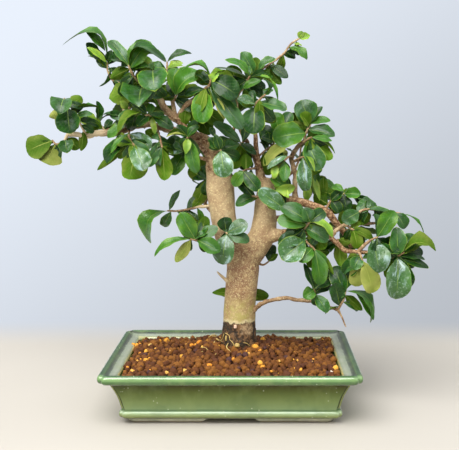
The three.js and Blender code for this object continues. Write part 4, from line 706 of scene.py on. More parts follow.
def makeTrunk(material):
    shape = bmesh.new()
    for seed, (name, route) in enumerate(limbs.items()):
        if isThick(route):
            sides = barkLook["sides"] if route[0][3] > barkLook["thinBelow"] else barkLook["thinSides"]
            addTube(shape, curveOf(route), [row[3] for row in route], sides, 6 * (len(route) - 1), seed)
    bmesh.ops.recalc_face_normals(shape, faces=shape.faces)
    trunk = fromShape("trunk", shape)
    fuse = trunk.modifiers.new("fuse", "REMESH")
    fuse.mode = "VOXEL"
    fuse.voxel_size = barkLook["voxel"]
    soften = trunk.modifiers.new("soften", "SMOOTH")
    soften.factor = 0.5
    soften.iterations = barkLook["smoothing"]
    settle(trunk)
    count = len(trunk.data.vertices)
    points = np.empty(count * 3)
    trunk.data.vertices.foreach_get("co", points)
    normals = np.empty(count * 3)
    trunk.data.vertex_normals.foreach_get("vector", normals)
    points, normals = points.reshape(-1, 3), normals.reshape(-1, 3)
    scars = [(placed(atDepth(x, z, y)), reach * mm) for x, z, y, reach in barkLook["scars"]]
    thick = [route for route in limbs.values() if isThick(route)]
    girths = kdtree.KDTree(sum(len(route) for route in thick) * barkLook["marksPerRow"])
    sizes = []
    for route in thick:
        curve, radii = curveOf(route), [row[3] for row in route]
        marks = len(route) * barkLook["marksPerRow"]
        for i in range(marks):
            girths.insert(placed(curve.at(i / (marks - 1))), len(sizes))
            sizes.append(radiusAt(radii, i / (marks - 1)))
    girths.balance()
    lift, crust, slender = [], [], []
    for point in points:
        spot = Vector(point)
        rough = max(0, *(1.25 - (spot - middle).length / reach for middle, reach in scars))
        rough = min(1, max(0, rough * (1 + 1.3 * noise.noise(spot * 150) + 0.9 * noise.noise(spot * 420))))
        foot = min(1, max(0, (barkLook["footTop"] - point[2]) / 0.008 + 0.6 * noise.noise(spot * 110)))
        low = noise.noise(spot * 60) + 0.5 * noise.noise(spot * 190)
        ridges = abs(noise.noise(Vector((point[0] * 240, point[1] * 240, point[2] * 60))))
        lumps = noise.noise(spot * 420) + 0.6 * noise.noise(spot * 800)
        crusty = barkLook["crust"] * lumps * max(rough, 0.6 * foot)
        lift.append(mm * (barkLook["ridge"] * (low - 0.6 * ridges) + crusty))
        crust.append(rough)
        near = girths.find_range(spot, barkLook["girthReach"])
        held = [sizes[i] for unused, i, away in near if away < (1.25 * sizes[i] + 1) * mm]
        thickest = max(held, default=barkLook["slenderBelow"])
        slender.append(min(1, max(0, (barkLook["slenderBelow"] - thickest) / 3)))
    points += normals * np.array(lift)[:, None]
    trunk.data.vertices.foreach_set("co", points.ravel())
    store(trunk.data, "crust", crust)
    store(trunk.data, "slender", slender)
    dress(trunk.data, material)
    smooth(trunk)
    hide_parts("trunk_and_branches")
    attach(trunk, "root")


# Stems: every thin branch and twig, as round tubes along their routes
stemLook = {
    "twigBase": 1.35,
    "twigTip": 0.95,
    "stepLength": 2.2,
    "profileSides": 8,
    "shake": 0.5,  # how crooked, as a share of the radius
    "knot": 0.5,
    "scale": 0.92,
    "flare": 0.35,  # extra thickness over the first millimetres
    "flareLength": 5,
    "endThin": 0.62,
    # thickness of single limbs
    "own": {"lowRightBranch": 0.74, "lowRightSpur": 0.8, "leftArm": 1.22},
}


def stemTree():
    tree, inputs, result = newTree("stems", [("Profile sides", "Int", 8), ("Material", "Material", None)])
    line = node(tree, "GeometryNodeMeshToCurve", {0: inputs["Geometry"]}).outputs[0]
    profile = node(tree, "GeometryNodeCurvePrimitiveCircle",
                   {"Resolution": inputs["Profile sides"], "Radius": 1.0}).outputs[0]
    tubes = node(tree, "GeometryNodeCurveToMesh",
                 {0: line, 1: profile, "Scale": named(tree, "thick"), "Fill Caps": True}).outputs[0]
    rounded = node(tree, "GeometryNodeSetShadeSmooth", {0: tubes}).outputs[0]
    whole = node(tree, "GeometryNodeRealizeInstances", {0: rounded}).outputs[0]
    endTree(tree, whole, inputs["Material"], result)
    return tree


# One run of points for each stem, a little crooked and thicker at its knots
def stemPath(curve, radii, seed):
    length = sum((curve.at((i + 1) / 20) - curve.at(i / 20)).length for i in range(20))
    steps = max(4, round(length / stemLook["stepLength"]))
    points, thick = [], []
    for step in range(steps + 1):
        share = step / steps
        radius = radiusAt(radii, share)
        shake = noise.noise_vector(Vector((share * length * 0.16, seed * 3.1, 0.5))) * stemLook["shake"]
        points.append(placed(curve.at(share) + shake * radius * min(1, 4 * share)))
        flare = 1 + stemLook["flare"] * max(0, 1 - share * length / stemLook["flareLength"])
        knot = 1 + stemLook["knot"] * max(0, noise.noise(Vector((share * length * 0.3, seed * 1.7, 2))))
        end = stemLook["endThin"] if step == steps else 1
        thick.append(radius * knot * (stemLook["scale"] * flare) * end * mm)
    return points, thick


def growStems(name, paths, material):
    points, thick, edges = [], [], []
    for path, radii in paths:
        first = len(points)
        points += path
        thick += radii
        edges += [(first + i, first + i + 1) for i in range(len(path) - 1)]
    mesh = meshOf(name, points, edges)
    store(mesh, "thick", thick)
    values = {"Profile sides": stemLook["profileSides"], "Material": material}
    stems = grow(name, addObject(name, mesh), stemTree(), values)
    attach(stems, "root")


# Pale rootlets, a cut root and a bud at the trunk's foot: half thickness, then points on the sheet,
# in millimetres
roots = {
    "rootlets": ((0.45, (-24.2, 62.4), (-21.2, 65), (-15.6, 64.7)), (0.9, (-16.8, 61.4), (-12.2, 58.6)),
        (0.95, (-6.9, 64.4), (-7.1, 59.4)),
        (0.4, (-12.5, 59.9), (-8.9, 56.3), (-4.8, 58.9), (-2.3, 61.4)),
        (0.5, (-18.1, 58.9), (-20.7, 54.3)), (0.6, (-4.8, 56.8), (-6.4, 52.8), (-2.3, 48.2)),
        (0.4, (-31.9, 52.8), (-27.3, 52.2), (-24.7, 48.2)),
        (0.35, (10, 57.3), (13.5, 56.8), (16.6, 54.3)), (0.45, (-21.7, 64), (-17.1, 63.5), (-13, 61.5)),
        (0.35, (-30, 49), (-33, 46.5), (-31, 44)), (0.35, (-10, 54), (-14, 50), (-12, 46.5)),
        (0.45, (-26, 60), (-22, 57.5), (-17.5, 58.5)), (0.4, (-19, 67), (-15.5, 63), (-14.5, 59)),
        (0.5, (-14, 62.5), (-10, 61), (-7.5, 57)), (0.4, (-9, 66.5), (-10.5, 61.5), (-13, 58.5)),
        (0.4, (-3, 60), (0, 57), (1, 53.5)), (2.5, (4.1, 56.2), (4.3, 52.6)),
        (0.4, (-8, 67), (-4, 64.5), (-3, 60)), (0.35, (-19, 50), (-16.5, 47.5), (-18, 45))),
    "bud": ((1.6, (2.2, 75.2), (2.4, 71.6)),),
    "colours": {"rootlets": rgb(206, 178, 104), "bud": rgb(240, 204, 176)},
    "aboveSoil": 2.2,
    "creep": 3,  # most that a rootlet goes forward or back at a point, so that it never jumps
    "endsThin": 0.7,
}


# The nearest place on the soil or the trunk's foot that is seen there
def onFoot(x, z):
    wood = woodLines()
    return firstSeen(x, z, lambda spot: spot.z < soilTop(spot.x, spot.y) + roots["aboveSoil"]
                     or inWood(np.array(spot), wood))


def makeRoots():
    for name, colour in roots["colours"].items():
        material, tree, shader = newMaterial(name)
        tone = grain(tree, objectPlace(tree), 500, 2)
        spotted = mix(tree, span(tree, tone, 0.4, 0.65, 0, 0.5), colour, rgb(150, 112, 62))
        give(tree, shader, {"Base Color": spotted, "Roughness": 0.6})
        paths = []
        for half, *line in roots[name]:
            spots = [onFoot(*line[0])]
            for x, z in line[1:]:
                last, creep = spots[-1].y, roots["creep"]
                spots.append(atDepth(x, z, min(last + creep, max(last - creep, onFoot(x, z).y))))
            curve = Curve(spots)
            steps = max(4, 3 * len(spots))
            paths.append(([placed(curve.at(i / steps)) for i in range(steps + 1)],
                          [half * mm * (roots["endsThin"] if i in (0, steps) else 1)
                           for i in range(steps + 1)]))
        growStems(name, paths, material)


def makeStems(material):
    paths = []
    for seed, (name, route) in enumerate(limbs.items()):
        if not isThick(route):
            own = stemLook["own"].get(name, 1)
            paths.append(stemPath(curveOf(route), [own * row[3] for row in route], seed))
    for seed, shoot in enumerate(shoots.values()):
        radii = [stemLook["twigBase"], stemLook["twigTip"]]
        paths.append(stemPath(curveOf(shoot["route"]), radii, seed + 50))
    growStems("stems", paths, material)


# Leaves: glossy blades with a pale rib and a thin yellow edge, matte and olive underneath, with painted
# sheen and painted glints on the upper face
leafLook = {
    "rows": (0, 0.045, 0.13, 0.25, 0.39, 0.54, 0.68, 0.8, 0.9, 0.965, 1),
    "columns": 5,
    # half width along the blade, as a share of its widest place
    "blunt": ((0, 0.03), (0.06, 0.13), (0.16, 0.42), (0.3, 0.76), (0.46, 0.95), (0.6, 1), (0.74, 0.96),
        (0.86, 0.8), (0.94, 0.56), (0.975, 0.36), (1, 0.08)),
    "pointed": ((0, 0.03), (0.06, 0.14), (0.18, 0.5), (0.34, 0.86), (0.5, 1), (0.66, 0.94), (0.8, 0.74),
        (0.91, 0.44), (0.965, 0.24), (1, 0.04)),
    "thick": 0.45,
    "fold": 0.32,  # rise of the edges, as a share of the half width
    "wave": 0.07,  # waviness of the edges, as a share of the width
    "droop": 0.07,  # fall of the tip, as a share of the length
    "uneven": 0.06,  # how much the outline swells and shrinks
    "jitter": 9,  # degrees of roll
    "rootClear": 1.4,  # millimetres from the wood
    "lastRoot": 0.985,  # the end of the twig as a share of its route
    # widths from which the part's leaves have five corners, and six
    "pointedFrom": 9.5,
    "bluntFrom": 14,
    # leaves this wide have the blunt outline, and those narrower by tipChange the pointed one
    "bluntAt": 15,
    "tipChange": 6,
}
# The smaller leaves that stand behind the drawn ones
innerLook = {
    "rounds": 2,
    "tries": 12,
    "top": 350,
    "shortest": 14,  # of the leaves that get one behind them
    "longest": 30,
    "looks": "ddmodd",
}
# What each letter stands for: age, the painted sheen on the upper face (which also raises its real gloss)
# and how much of the lower side's colour shows
lookValues = {"d": (1.0, 0.12, 0), "m": (0.86, 0.5, 0), "s": (0.84, 1.0, 0), "g": (0.6, 0.25, 0),
              "y": (0.22, 0.1, 0), "o": (0.62, 0.0, 1), "p": (0.22, 0.1, 1)}
towardEye = Vector((0, -1, 0.3)).normalized()
# The six shoots of the back: lengths in millimetres, angles in degrees, places as shares of the twig
pairRule = {"length": 29, "lengthSpread": 5, "width": 0.6, "spread": 58, "turn": 90, "turnSpread": 40,
            "rollSpread": 30, "first": 0.28, "last": 0.97, "looks": "dmdo"}
# The leans and turns that the part tries for a leaf, in degrees
swings = [[0, 0], [10, 0], [-10, 0], [20, 0], [-20, 0], [0, 8], [0, -8], [30, 0], [-30, 0],
          [15, 12], [15, -12], [-15, 12], [-15, -12], [42, 0], [-42, 0], [30, 18], [30, -18], [-30, 18],
          [-30, -18], [56, 0], [-56, 0], [48, 30], [48, -30], [-48, 30], [-48, -30]]


# Seeded draws that give the part's own numbers
def draws(seed):
    state = seed
    while True:
        state = (state + 0x6d2b79f5) & 0xffffffff
        mixed = ((state ^ state >> 15) * (state | 1)) & 0xffffffff
        mixed = ((mixed + ((mixed ^ mixed >> 7) * (mixed | 61))) & 0xffffffff) ^ mixed
        yield (mixed ^ mixed >> 14) / 4294967296


def turned(vector, axis, degrees):
    return Quaternion(axis, math.radians(degrees)) @ vector


# The leaf's axes after a swing: along it, square to it and out of its upper face
def leafAxes(leaf, lean, turn):
    toward = leaf["toward"]
    along = (leaf["tip"] - leaf["root"]).normalized()
    along = turned(along, along.cross(toward).normalized(), lean)
    along = turned(along, toward, turn).normalized()
    face = (toward - along * toward.dot(along)).normalized()
    side = along.cross(face)
    rise = -1 if side.z + 0.4 * side.x < 0 else 1
    face = turned(face, along, rise * leaf["roll"])
    return along, face, face.cross(along)


def woodLines():
    starts, ends, radii = [], [], []
    for route in limbs.values():
        spots = [atDepth(*row[:3]) for row in route]
        for i in range(len(route) - 1):
            starts.append(spots[i])
            ends.append(spots[i + 1])
            radii.append((route[i][3], route[i + 1][3]))
    return np.array(starts), np.array(ends), np.array(radii)


def inWood(spot, wood):
    starts, ends, radii = wood
    runs = ends - starts
    shares = np.clip(((spot - starts) * runs).sum(1) / (runs ** 2).sum(1), 0, 1)
    away = np.linalg.norm(starts + runs * shares[:, None] - spot, axis=1)
    return bool((away < radii[:, 0] + (radii[:, 1] - radii[:, 0]) * shares + leafLook["rootClear"]).any())


def drawnLeaves(shoot, curve, wood):
    draw = draws(101)
    steps = 80
    tries = [curve.at(i / steps * leafLook["lastRoot"]) for i in range(steps + 1)]
    spots = [spot for i, spot in enumerate(tries) if i == steps or not inWood(np.array(spot), wood)]
    made = []
    for x0, z0, x1, z1, lean, width, roll, bow in shoot["leaves"]:
        root = min(spots, key=lambda spot: (spot - atDepth(x0, z0, spot.y)).length)
        made.append({"root": root, "tip": atDepth(x1, z1, root.y - lean), "width": width, "bow": bow,
                     "roll": roll + leafLook["jitter"] * (2 * next(draw) - 1), "toward": towardEye})
    return made


def pairedLeaves(shoot, curve):
    draw = draws(shoot["seed"])
    made = []
    for pair in range(shoot["pairs"]):
        reach = pairRule["last"] - pairRule["first"]
        share = pairRule["first"] + reach * pair / (shoot["pairs"] - 1)
        root, stem = curve.at(share), curve.tangent(share)
        level = Vector((0, 0, 1)).cross(stem).normalized()
        level = turned(level, stem, pairRule["turn"] * pair + pairRule["turnSpread"] * (next(draw) - 0.5))
        for side in (-1, 1):
            spread = math.radians(pairRule["spread"])
            along = stem * math.cos(spread) + level * (side * math.sin(spread))
            length = pairRule["length"] + pairRule["lengthSpread"] * (2 * next(draw) - 1)
            made.append({"root": root, "tip": root + along * length, "width": pairRule["width"] * length,
                         "roll": pairRule["rollSpread"] * (next(draw) - 0.5), "bow": 1 + 2 * next(draw),
                         "toward": Vector((0.15 * side, 0.45, 0.85)).normalized()})
    tip = curve.at(leafLook["lastRoot"])
    made.append({"root": tip, "tip": tip + curve.tangent(1) * pairRule["length"], "roll": 0, "bow": 2,
                 "width": pairRule["width"] * pairRule["length"],
                 "toward": Vector((0, 0.45, 0.9)).normalized()})
    return made


# Which swing the part gave this leaf: the one whose outer corners lie on the CAD node
def settledAxes(leaf, corners):
    length = (leaf["tip"] - leaf["root"]).length
    best = (-1, None)
    for lean, turn in swings:
        along, face, side = leafAxes(leaf, lean, turn)
        if leaf["width"] < leafLook["pointedFrom"]:
            outline = [(0.52, 1), (1, 0), (0.52, -1)]
        elif leaf["width"] < leafLook["bluntFrom"]:
            outline = [(0.3, 0.84), (0.72, 1), (1, 0), (0.72, -1), (0.3, -0.84)]
        else:
            outline = [(0.28, 0.76), (0.68, 1), (1, 0.42), (1, -0.42), (0.68, -1), (0.28, -0.76)]
        hits = 0
        for share, across in outline:
            slope = 4 * leaf["bow"] * (1 - 2 * share) / length
            normal = (face - along * slope).normalized()
            spot = (leaf["root"] + along * (share * length) + side * (across * leaf["width"] / 2)
                    + face * (4 * leaf["bow"] * share * (1 - share)))
            for half in (0.4, -0.4):
                hits += corners.find(placed(spot + normal * half))[2] < 0.00025
        if hits > best[0]:
            best = (hits, (along, face, side))
    return best


# How far a leaf goes from the blunt outline to the pointed one
def pointedness(width):
    return min(1, max(0, (leafLook["bluntAt"] - width) / leafLook["tipChange"]))


def cornersOf(name):
    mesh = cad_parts[name].data
    corners = kdtree.KDTree(len(mesh.vertices))
    for i, vertex in enumerate(mesh.vertices):
        corners.insert(vertex.co, i)
    corners.balance()
    return corners


def settledLeaves():
    wood = woodLines()
    settled, lost = [], []
    for name, shoot in shoots.items():
        curve = curveOf(shoot["route"])
        corners = cornersOf("shoot_" + name)
        made = pairedLeaves(shoot, curve) if "pairs" in shoot else drawnLeaves(shoot, curve, wood)
        for i, leaf in enumerate(made):
            hits, axes = settledAxes(leaf, corners)
            if hits < 2:
                lost.append((name, i))
                continue
            leaf["axes"] = axes
            leaf["length"] = (leaf["tip"] - leaf["root"]).length
            leaf["shoot"] = name
            letter = shoot["looks"][i] if "looks" in shoot else pairRule["looks"][i % 4]
            leaf["look"] = lookValues[letter.lower()]
            leaf["pointed"] = 0 if letter.isupper() else pointedness(leaf["width"])
            settled.append(leaf)
    print("leaves set on their solids:", len(settled), "not in the part:", lost)
    return settled


def onSheet(point):
    down = math.radians(view["lookDown"])
    ray = point - Vector(view["eye"])
    ahead = ray.y * math.cos(down) - ray.z * math.sin(down)
    up = ray.y * math.sin(down) + ray.z * math.cos(down)
    scale = view["sheetDistance"] / ahead
    return Vector((view["sheetMiddle"][0] + ray.x * scale, view["sheetMiddle"][1] + up * scale))


# Leaves seen between the others: the same numbers as a shoot's leaves, then the letter of the look
accents = (
    (57, 257, 30, 238, 15, 13, 25, 4, "p"), (55, 244.5, 34, 233, 9, 7, 20, 1, "s"),
    (42.5, 236, 41.5, 221.7, 6, 8, 0, 1, "y"), (53, 236, 51, 218.3, 8, 10.5, 0, 1, "g"),
    (62.5, 213, 42.5, 210.5, 8, 11, -25, 3, "y"), (43.7, 208, 56, 202, 12, 9, 30, 2, "y"),
    (78.7, 229.4, 87, 199.4, 9, 6, 10, 1, "y"), (74.8, 218, 73.7, 198.3, 5, 8.5, 0, 1, "y"),
    (90.3, 222.8, 90.3, 206, 6, 9.5, 0, 1, "o"), (83.7, 228, 83.7, 217, 6, 7, 0, 1, "g"),
    (98, 213, 110.5, 209, 7, 8, 15, 2, "g"), (70.3, 245, 82.5, 230.6, 16, 5, 35, 4, "y"),
    (7, 257, 22, 246, 6, 8, 15, 1, "d"), (37, 196, 53.7, 189.4, 9, 4.5, 45, 2, "y"),
    (-127.7, 348.8, -147, 368.5, 4, 9, 15, 4, "g"), (-126, 337, -146.5, 352.4, 7, 7, 20, 2, "y"),
    (-105, 291, -113, 299, 6, 7.5, 0, 1, "y"), (-96.5, 285.3, -113.6, 280.6, 7, 12, 10, 2, "m"),
    (-102.4, 267.6, -123.6, 251.2, 7, 5.5, 30, 1, "g"), (-20, 304.7, -8, 282, 9, 7.5, 10, 1, "p"),
    (4.6, 305, -14.5, 329, 6, 17, -15, 3, "o"), (9.4, 310.6, 28, 320, 6, 9, 15, 2, "g"),
    (-66, 330.6, -50, 334.5, 7, 5, 30, 2, "y"), (-49.5, 248.2, -69.5, 255, 8, 15, 10, 2, "s"),
    (-47, 264.7, -67, 263.5, 8, 4, 45, 2, "p"), (2.3, 301.2, 20, 290.6, 7, 9, 15, 1, "m"),
    (-23, 273, -17.7, 263, 8, 6, 0, 1, "d"), (-47, 293, -49, 275, 2, 12, 0, 1, "o"),
    (122, 108.5, 141, 80, 5, 9, 15, 4, "g"),
)


# Each starts just before the foremost twig near it
def accentLeaves():
    drawn = [curveOf(shoot["route"]) for shoot in shoots.values() if "looks" in shoot]
    spots = [curve.at(i / 30) for curve in drawn for i in range(31)]
    made = []
    for x0, z0, x1, z1, lean, width, roll, bow, letter in accents:
        start = Vector((x0, z0))
        near = sorted(spots, key=lambda spot: (onSheet(spot) - start).length)[:6]
        near += [spot for spot in spots if (onSheet(spot) - start).length < 11]
        root = atDepth(x0, z0, min(spot.y for spot in near) - 2)
        leaf = {"root": root, "tip": atDepth(x1, z1, root.y - lean), "toward": towardEye, "roll": roll,
                "width": width, "bow": bow, "shoot": "accent", "pointed": pointedness(width),
                "look": lookValues[letter]}
        leaf["length"] = (leaf["tip"] - leaf["root"]).length
        leaf["axes"] = leafAxes(leaf, 0, 0)
        made.append(leaf)
    return made


# Darker leaves behind the drawn ones, each on the same twig and with its tip behind another leaf
def innerLeaves(settled):
    draw = draws(23)
    blades = []
    drawn = [leaf for leaf in settled if "looks" in shoots[leaf["shoot"]]]
    for leaf in drawn:
        root, tip = onSheet(leaf["root"]), onSheet(leaf["tip"])
        blades.append((root + (tip - root) * 0.56, (tip - root).length * 0.44, leaf["width"] * 0.42))
    hidden = lambda spot: any(
        (spot - middle).length < min(reach, half * 1.15) for middle, reach, half in blades)
    made = []
    long = [leaf for leaf in drawn if leaf["length"] >= innerLook["shortest"]]
    for leaf in [leaf for leaf in long for unused in range(innerLook["rounds"])]:
        curve = curveOf(shoots[leaf["shoot"]]["route"])
        for unused in range(innerLook["tries"]):
            share, turn, back = 0.25 + 0.7 * next(draw), 150 * (next(draw) - 0.5), 4 + 15 * next(draw)
            length = min(innerLook["longest"], leaf["length"]) * (0.6 + 0.3 * next(draw))
            root = curve.at(share)
            along = turned((leaf["tip"] - leaf["root"]).normalized(), towardEye, turn)
            tip = root + (along * length + Vector((0, back, 0))).normalized() * length
            ends = [tip, root + (tip - root) * 0.75]
            if all(hidden(onSheet(end)) for end in ends) and tip.z < innerLook["top"]:
                inner = {"root": root, "tip": tip, "toward": towardEye, "roll": 70 * (next(draw) - 0.5),
                         "width": length * (0.42 + 0.12 * next(draw)), "bow": 2, "length": length,
                         "shoot": leaf["shoot"], "pointed": 0.3,
                         "look": lookValues[innerLook["looks"][int(6 * next(draw))]]}
                inner["axes"] = leafAxes(inner, 0, 0)
                made.append(inner)
                break
    print("leaves added behind:", len(made))
    return settled + made


# The unit blade: place along it, place across it and upper or lower sheet.
# The tree works them into a shape.
def unitBlade():
    rows, columns = leafLook["rows"][1:-1], leafLook["columns"]
    cells = [(0, 0, 0), (1, 0, 0)]
    index = {}
    for layer in (1, -1):
        for r, share in enumerate(rows):
            for c in range(columns):
                edge = c in (0, columns - 1)
                key = (r, c, 0 if edge else layer)
                if key not in index:
                    index[key] = len(cells)
                    cells.append((share, 2 * c / (columns - 1) - 1, key[2]))
    faces = []
    last = len(rows) - 1
    for layer in (1, -1):
        at = lambda r, c: index[(r, c, 0 if c in (0, columns - 1) else layer)]
        sheet = []
        for c in range(columns - 1):
            sheet += [(0, at(0, c + 1), at(0, c)), (1, at(last, c), at(last, c + 1))]
            for r in range(last):  # both sheets are cut along the same diagonals, or they would cross
                near, far = (at(r, c), at(r, c + 1)), (at(r + 1, c), at(r + 1, c + 1))
                if c < (columns - 1) / 2:
                    sheet += [(near[0], near[1], far[1]), (near[0], far[1], far[0])]
                else:
                    sheet += [(near[0], near[1], far[0]), (near[1], far[1], far[0])]
        faces += [face if layer == 1 else face[::-1] for face in sheet]
    mesh = meshOf("unitBlade", [(across, share, layer * 0.01) for share, across, layer in cells], (), faces)
    store(mesh, "leafCell", cells, "FLOAT_VECTOR")
    rims = [cells[a][2] == 0 and cells[b][2] == 0 for a, b in (edge.vertices for edge in mesh.edges)]
    store(mesh, "sharp_edge", rims, "BOOLEAN", "EDGE")
    return mesh


def widthCurve(tree, share, stops):
    made = node(tree, "ShaderNodeFloatCurve", {"Value": share})
    curve = made.mapping.curves[0]
    curve.points[0].location = stops[0]
    curve.points[1].location = stops[-1]
    for stop in stops[1:-1]:
        curve.points.new(*stop)
    made.mapping.update()
    return made.outputs[0]


def leafTree():
    tree, inputs, result = newTree("leaves", [
        ("Blade", "Object", None), ("Thickness", "Float", 0.00045), ("Fold", "Float", 0.2),
        ("Wave", "Float", 0.05), ("Droop", "Float", 0.06), ("Uneven", "Float", 0.07),
        ("Material", "Material", None)])
    m = lambda operation, *values: maths(tree, operation, *values)
    v = lambda operation, *values, **more: vectors(tree, operation, *values, **more)
    blade = node(tree, "GeometryNodeObjectInfo", {"Object": inputs["Blade"]}).outputs["Geometry"]
    blades = node(tree, "GeometryNodeInstanceOnPoints", {"Points": inputs["Geometry"], "Instance": blade})
    whole = node(tree, "GeometryNodeRealizeInstances", {0: blades.outputs[0]}).outputs[0]
    share, across, layer = split(tree, named(tree, "leafCell", "FLOAT_VECTOR"))
    length, width, bow = split(tree, named(tree, "leafSize", "FLOAT_VECTOR"))
    seed, pointed = named(tree, "leafSeed"), named(tree, "leafPointed")
    vary = lambda turns, low, high: m(
        "MULTIPLY_ADD", m("FRACT", m("MULTIPLY", seed, turns)), high - low, low)
    blunt = widthCurve(tree, share, leafLook["blunt"])
    sharp = widthCurve(tree, share, leafLook["pointed"])
    half = node(tree, "ShaderNodeMix", {0: pointed, 2: blunt, 3: sharp}, data_type="FLOAT").outputs[0]
    notch = m("SINE", m("ADD", m("MULTIPLY", share, 9.0), m("ADD", m("MULTIPLY", seed, 61.0), across)))
    half = m("MULTIPLY", half, m("MULTIPLY_ADD", notch, inputs["Uneven"], 1.0))
    aside = m("MULTIPLY", across, half)
    arch = m("MULTIPLY", m("MULTIPLY", bow, 4.0), m("MULTIPLY", share, m("SUBTRACT", 1.0, share)))
    fold = m("MULTIPLY", m("MULTIPLY", inputs["Fold"], m("MULTIPLY", width, 0.5)), m("ABSOLUTE", aside))
    fold = m("MULTIPLY", fold, vary(7.0, 0.2, 2.2))
    phase = m("ADD", m("MULTIPLY", share, 13.0), m("MULTIPLY", seed, 40.0))
    phase = m("ADD", phase, m("MULTIPLY", across, 1.9))
    swell = m("MULTIPLY", m("MULTIPLY", inputs["Wave"], width),
              m("MULTIPLY", m("SINE", phase), m("ABSOLUTE", aside)))
    swell = m("MULTIPLY", swell, vary(3.0, 0.4, 1.8))
    droop = m("MULTIPLY", m("MULTIPLY", inputs["Droop"], length), m("POWER", share, 3.0))
    droop = m("MULTIPLY", droop, vary(5.0, -0.6, 2.6))
    sheet = m("MULTIPLY", layer, m("MULTIPLY", inputs["Thickness"], 0.5))
    up = m("SUBTRACT", m("ADD", m("ADD", arch, fold), m("ADD", swell, sheet)), droop)
    spot = v("ADD", named(tree, "leafRoot", "FLOAT_VECTOR"),
             v("SCALE", named(tree, "leafAlong", "FLOAT_VECTOR"), scale=m("MULTIPLY", share, length)))
    spot = v("ADD", spot, v("SCALE", named(tree, "leafSide", "FLOAT_VECTOR"),
                            scale=m("MULTIPLY", aside, m("MULTIPLY", width, 0.5))))
    spot = v("ADD", spot, v("SCALE", named(tree, "leafFace", "FLOAT_VECTOR"), scale=up))
    shaped = node(tree, "GeometryNodeSetPosition", {0: whole, "Position": spot}).outputs[0]
    marked = node(tree, "GeometryNodeStoreNamedAttribute", {0: shaped, "Name": "leafAside", "Value": aside},
                  data_type="FLOAT", domain="POINT").outputs[0]
    rounded = node(tree, "GeometryNodeSetShadeSmooth", {0: marked}).outputs[0]
    endTree(tree, rounded, inputs["Material"], result)
    return tree


def leafMaterial():
    material, tree, shader = newMaterial("leaf")
    share, across, layer = split(tree, stored(tree, "leafCell", "Vector"))
    age, paintedSheenAndGloss, turnedOver = split(tree, stored(tree, "leafTone", "Vector"))
    aside = maths(tree, "ABSOLUTE", stored(tree, "leafAside"))
    seed = stored(tree, "leafSeed")
    place = objectPlace(tree)
    blotch = grain(tree, place, 60, 3, 0.6)
    under = maths(tree, "MAXIMUM", maths(tree, "LESS_THAN", layer, -0.002), turnedOver)
    tone = maths(tree, "MULTIPLY_ADD", maths(tree, "SUBTRACT", blotch, 0.5), 0.65, age)
    tone = maths(tree, "ADD", tone, span(tree, aside, 0.0, 0.9, 0.05, -0.1))  # lighter towards the edges
    upper = ramp(tree, tone, [(0.0, rgb(160, 180, 70)), (0.28, rgb(112, 148, 46)), (0.55, rgb(60, 108, 14)),
                              (0.8, rgb(36, 84, 9)), (1.05, rgb(20, 55, 6))])
    lower = ramp(tree, tone, [(0.0, rgb(156, 158, 86)), (0.35, rgb(120, 134, 58)), (0.65, rgb(72, 104, 20)),
                              (1.0, rgb(50, 76, 14))])
    # Painted sheen on the upper face: a bluish haze, small white glints and broad pale patches stand in for
    # reflected light
    paintedHaze = times(tree, paintedSheenAndGloss, span(tree, grain(tree, place, 130, 4, 0.7), 0.34, 0.66, 0.25, 1.0))
    upper = mix(tree, times(tree, paintedHaze, 0.24), upper, rgb(122, 156, 114))
    paintedGlints = span(tree, grain(tree, place, 330, 3, 0.7), 0.56, 0.66)
    paintedGlints = times(tree, times(tree, paintedGlints, span(tree, paintedSheenAndGloss, 0.45, 1.0)), 0.26)
    upper = mix(tree, paintedGlints, upper, rgb(192, 214, 196))
    own = {0: times(tree, share, 1.7), 1: times(tree, across, 1.1), 2: times(tree, seed, 37.0)}
    ownPlace = node(tree, "ShaderNodeCombineXYZ", own).outputs[0]
    sheen = span(tree, grain(tree, ownPlace, 1.4, 4, 0.62, 0.9), 0.52, 0.68, 0, 0.6)
    sheen = times(tree, sheen, span(tree, paintedSheenAndGloss, 0.45, 1.0, 0.1, 1.0))
    upper = mix(tree, sheen, upper, rgb(176, 202, 204))
    rib = span(tree, aside, 0.016, 0.045, 1, 0)
    rib = times(tree, rib, span(tree, share, 0.45, 0.96, 0.7, 0.0))
    veinPlace = maths(tree, "MULTIPLY_ADD", aside, -0.4, share)
    vein = span(tree, maths(tree, "SINE", times(tree, veinPlace, 46.0)), 0.8, 1.0)
    vein = times(tree, vein, 0.13)
    rim = maths(tree, "MAXIMUM", maths(tree, "ABSOLUTE", across), span(tree, share, 0.9, 0.985))
    edge = times(tree, span(tree, rim, 0.92, 1.0), span(tree, seed, 0.2, 0.8, 0.05, 0.7))
    upper = mix(tree, vein, upper, rgb(104, 138, 52))
    upper = mix(tree, edge, upper, rgb(142, 164, 52))
    upper = mix(tree, rib, upper, rgb(130, 158, 66))
    lower = mix(tree, vein, lower, rgb(136, 150, 70))
    lower = mix(tree, rib, lower, rgb(158, 166, 84))
    colour = mix(tree, under, upper, lower)
    tint = node(tree, "ShaderNodeHueSaturation",
                {"Color": colour, "Value": maths(tree, "MULTIPLY_ADD", seed, 0.45, 0.84)}).outputs[0]
    gloss = maths(tree, "MULTIPLY_ADD", grain(tree, place, 170, 3, 0.7), 0.4, 0.12)
    rough = node(tree, "ShaderNodeMix", {0: under, 2: gloss, 3: 0.62}, data_type="FLOAT").outputs[0]
    shine = times(tree, span(tree, paintedSheenAndGloss, 0.1, 1.0, 0.32, 0.6), span(tree, under, 0, 1, 1, 0.35))
    veinHeight = maths(tree, "ADD", times(tree, rib, -0.8), times(tree, vein, -2.0))
    height = maths(tree, "ADD", veinHeight, times(tree, grain(tree, place, 300, 2), 0.5))
    give(tree, shader, {"Base Color": tint, "Roughness": rough, "Specular IOR Level": shine,
                        "Normal": bump(tree, height, 0.5, 0.0005)})
    return material


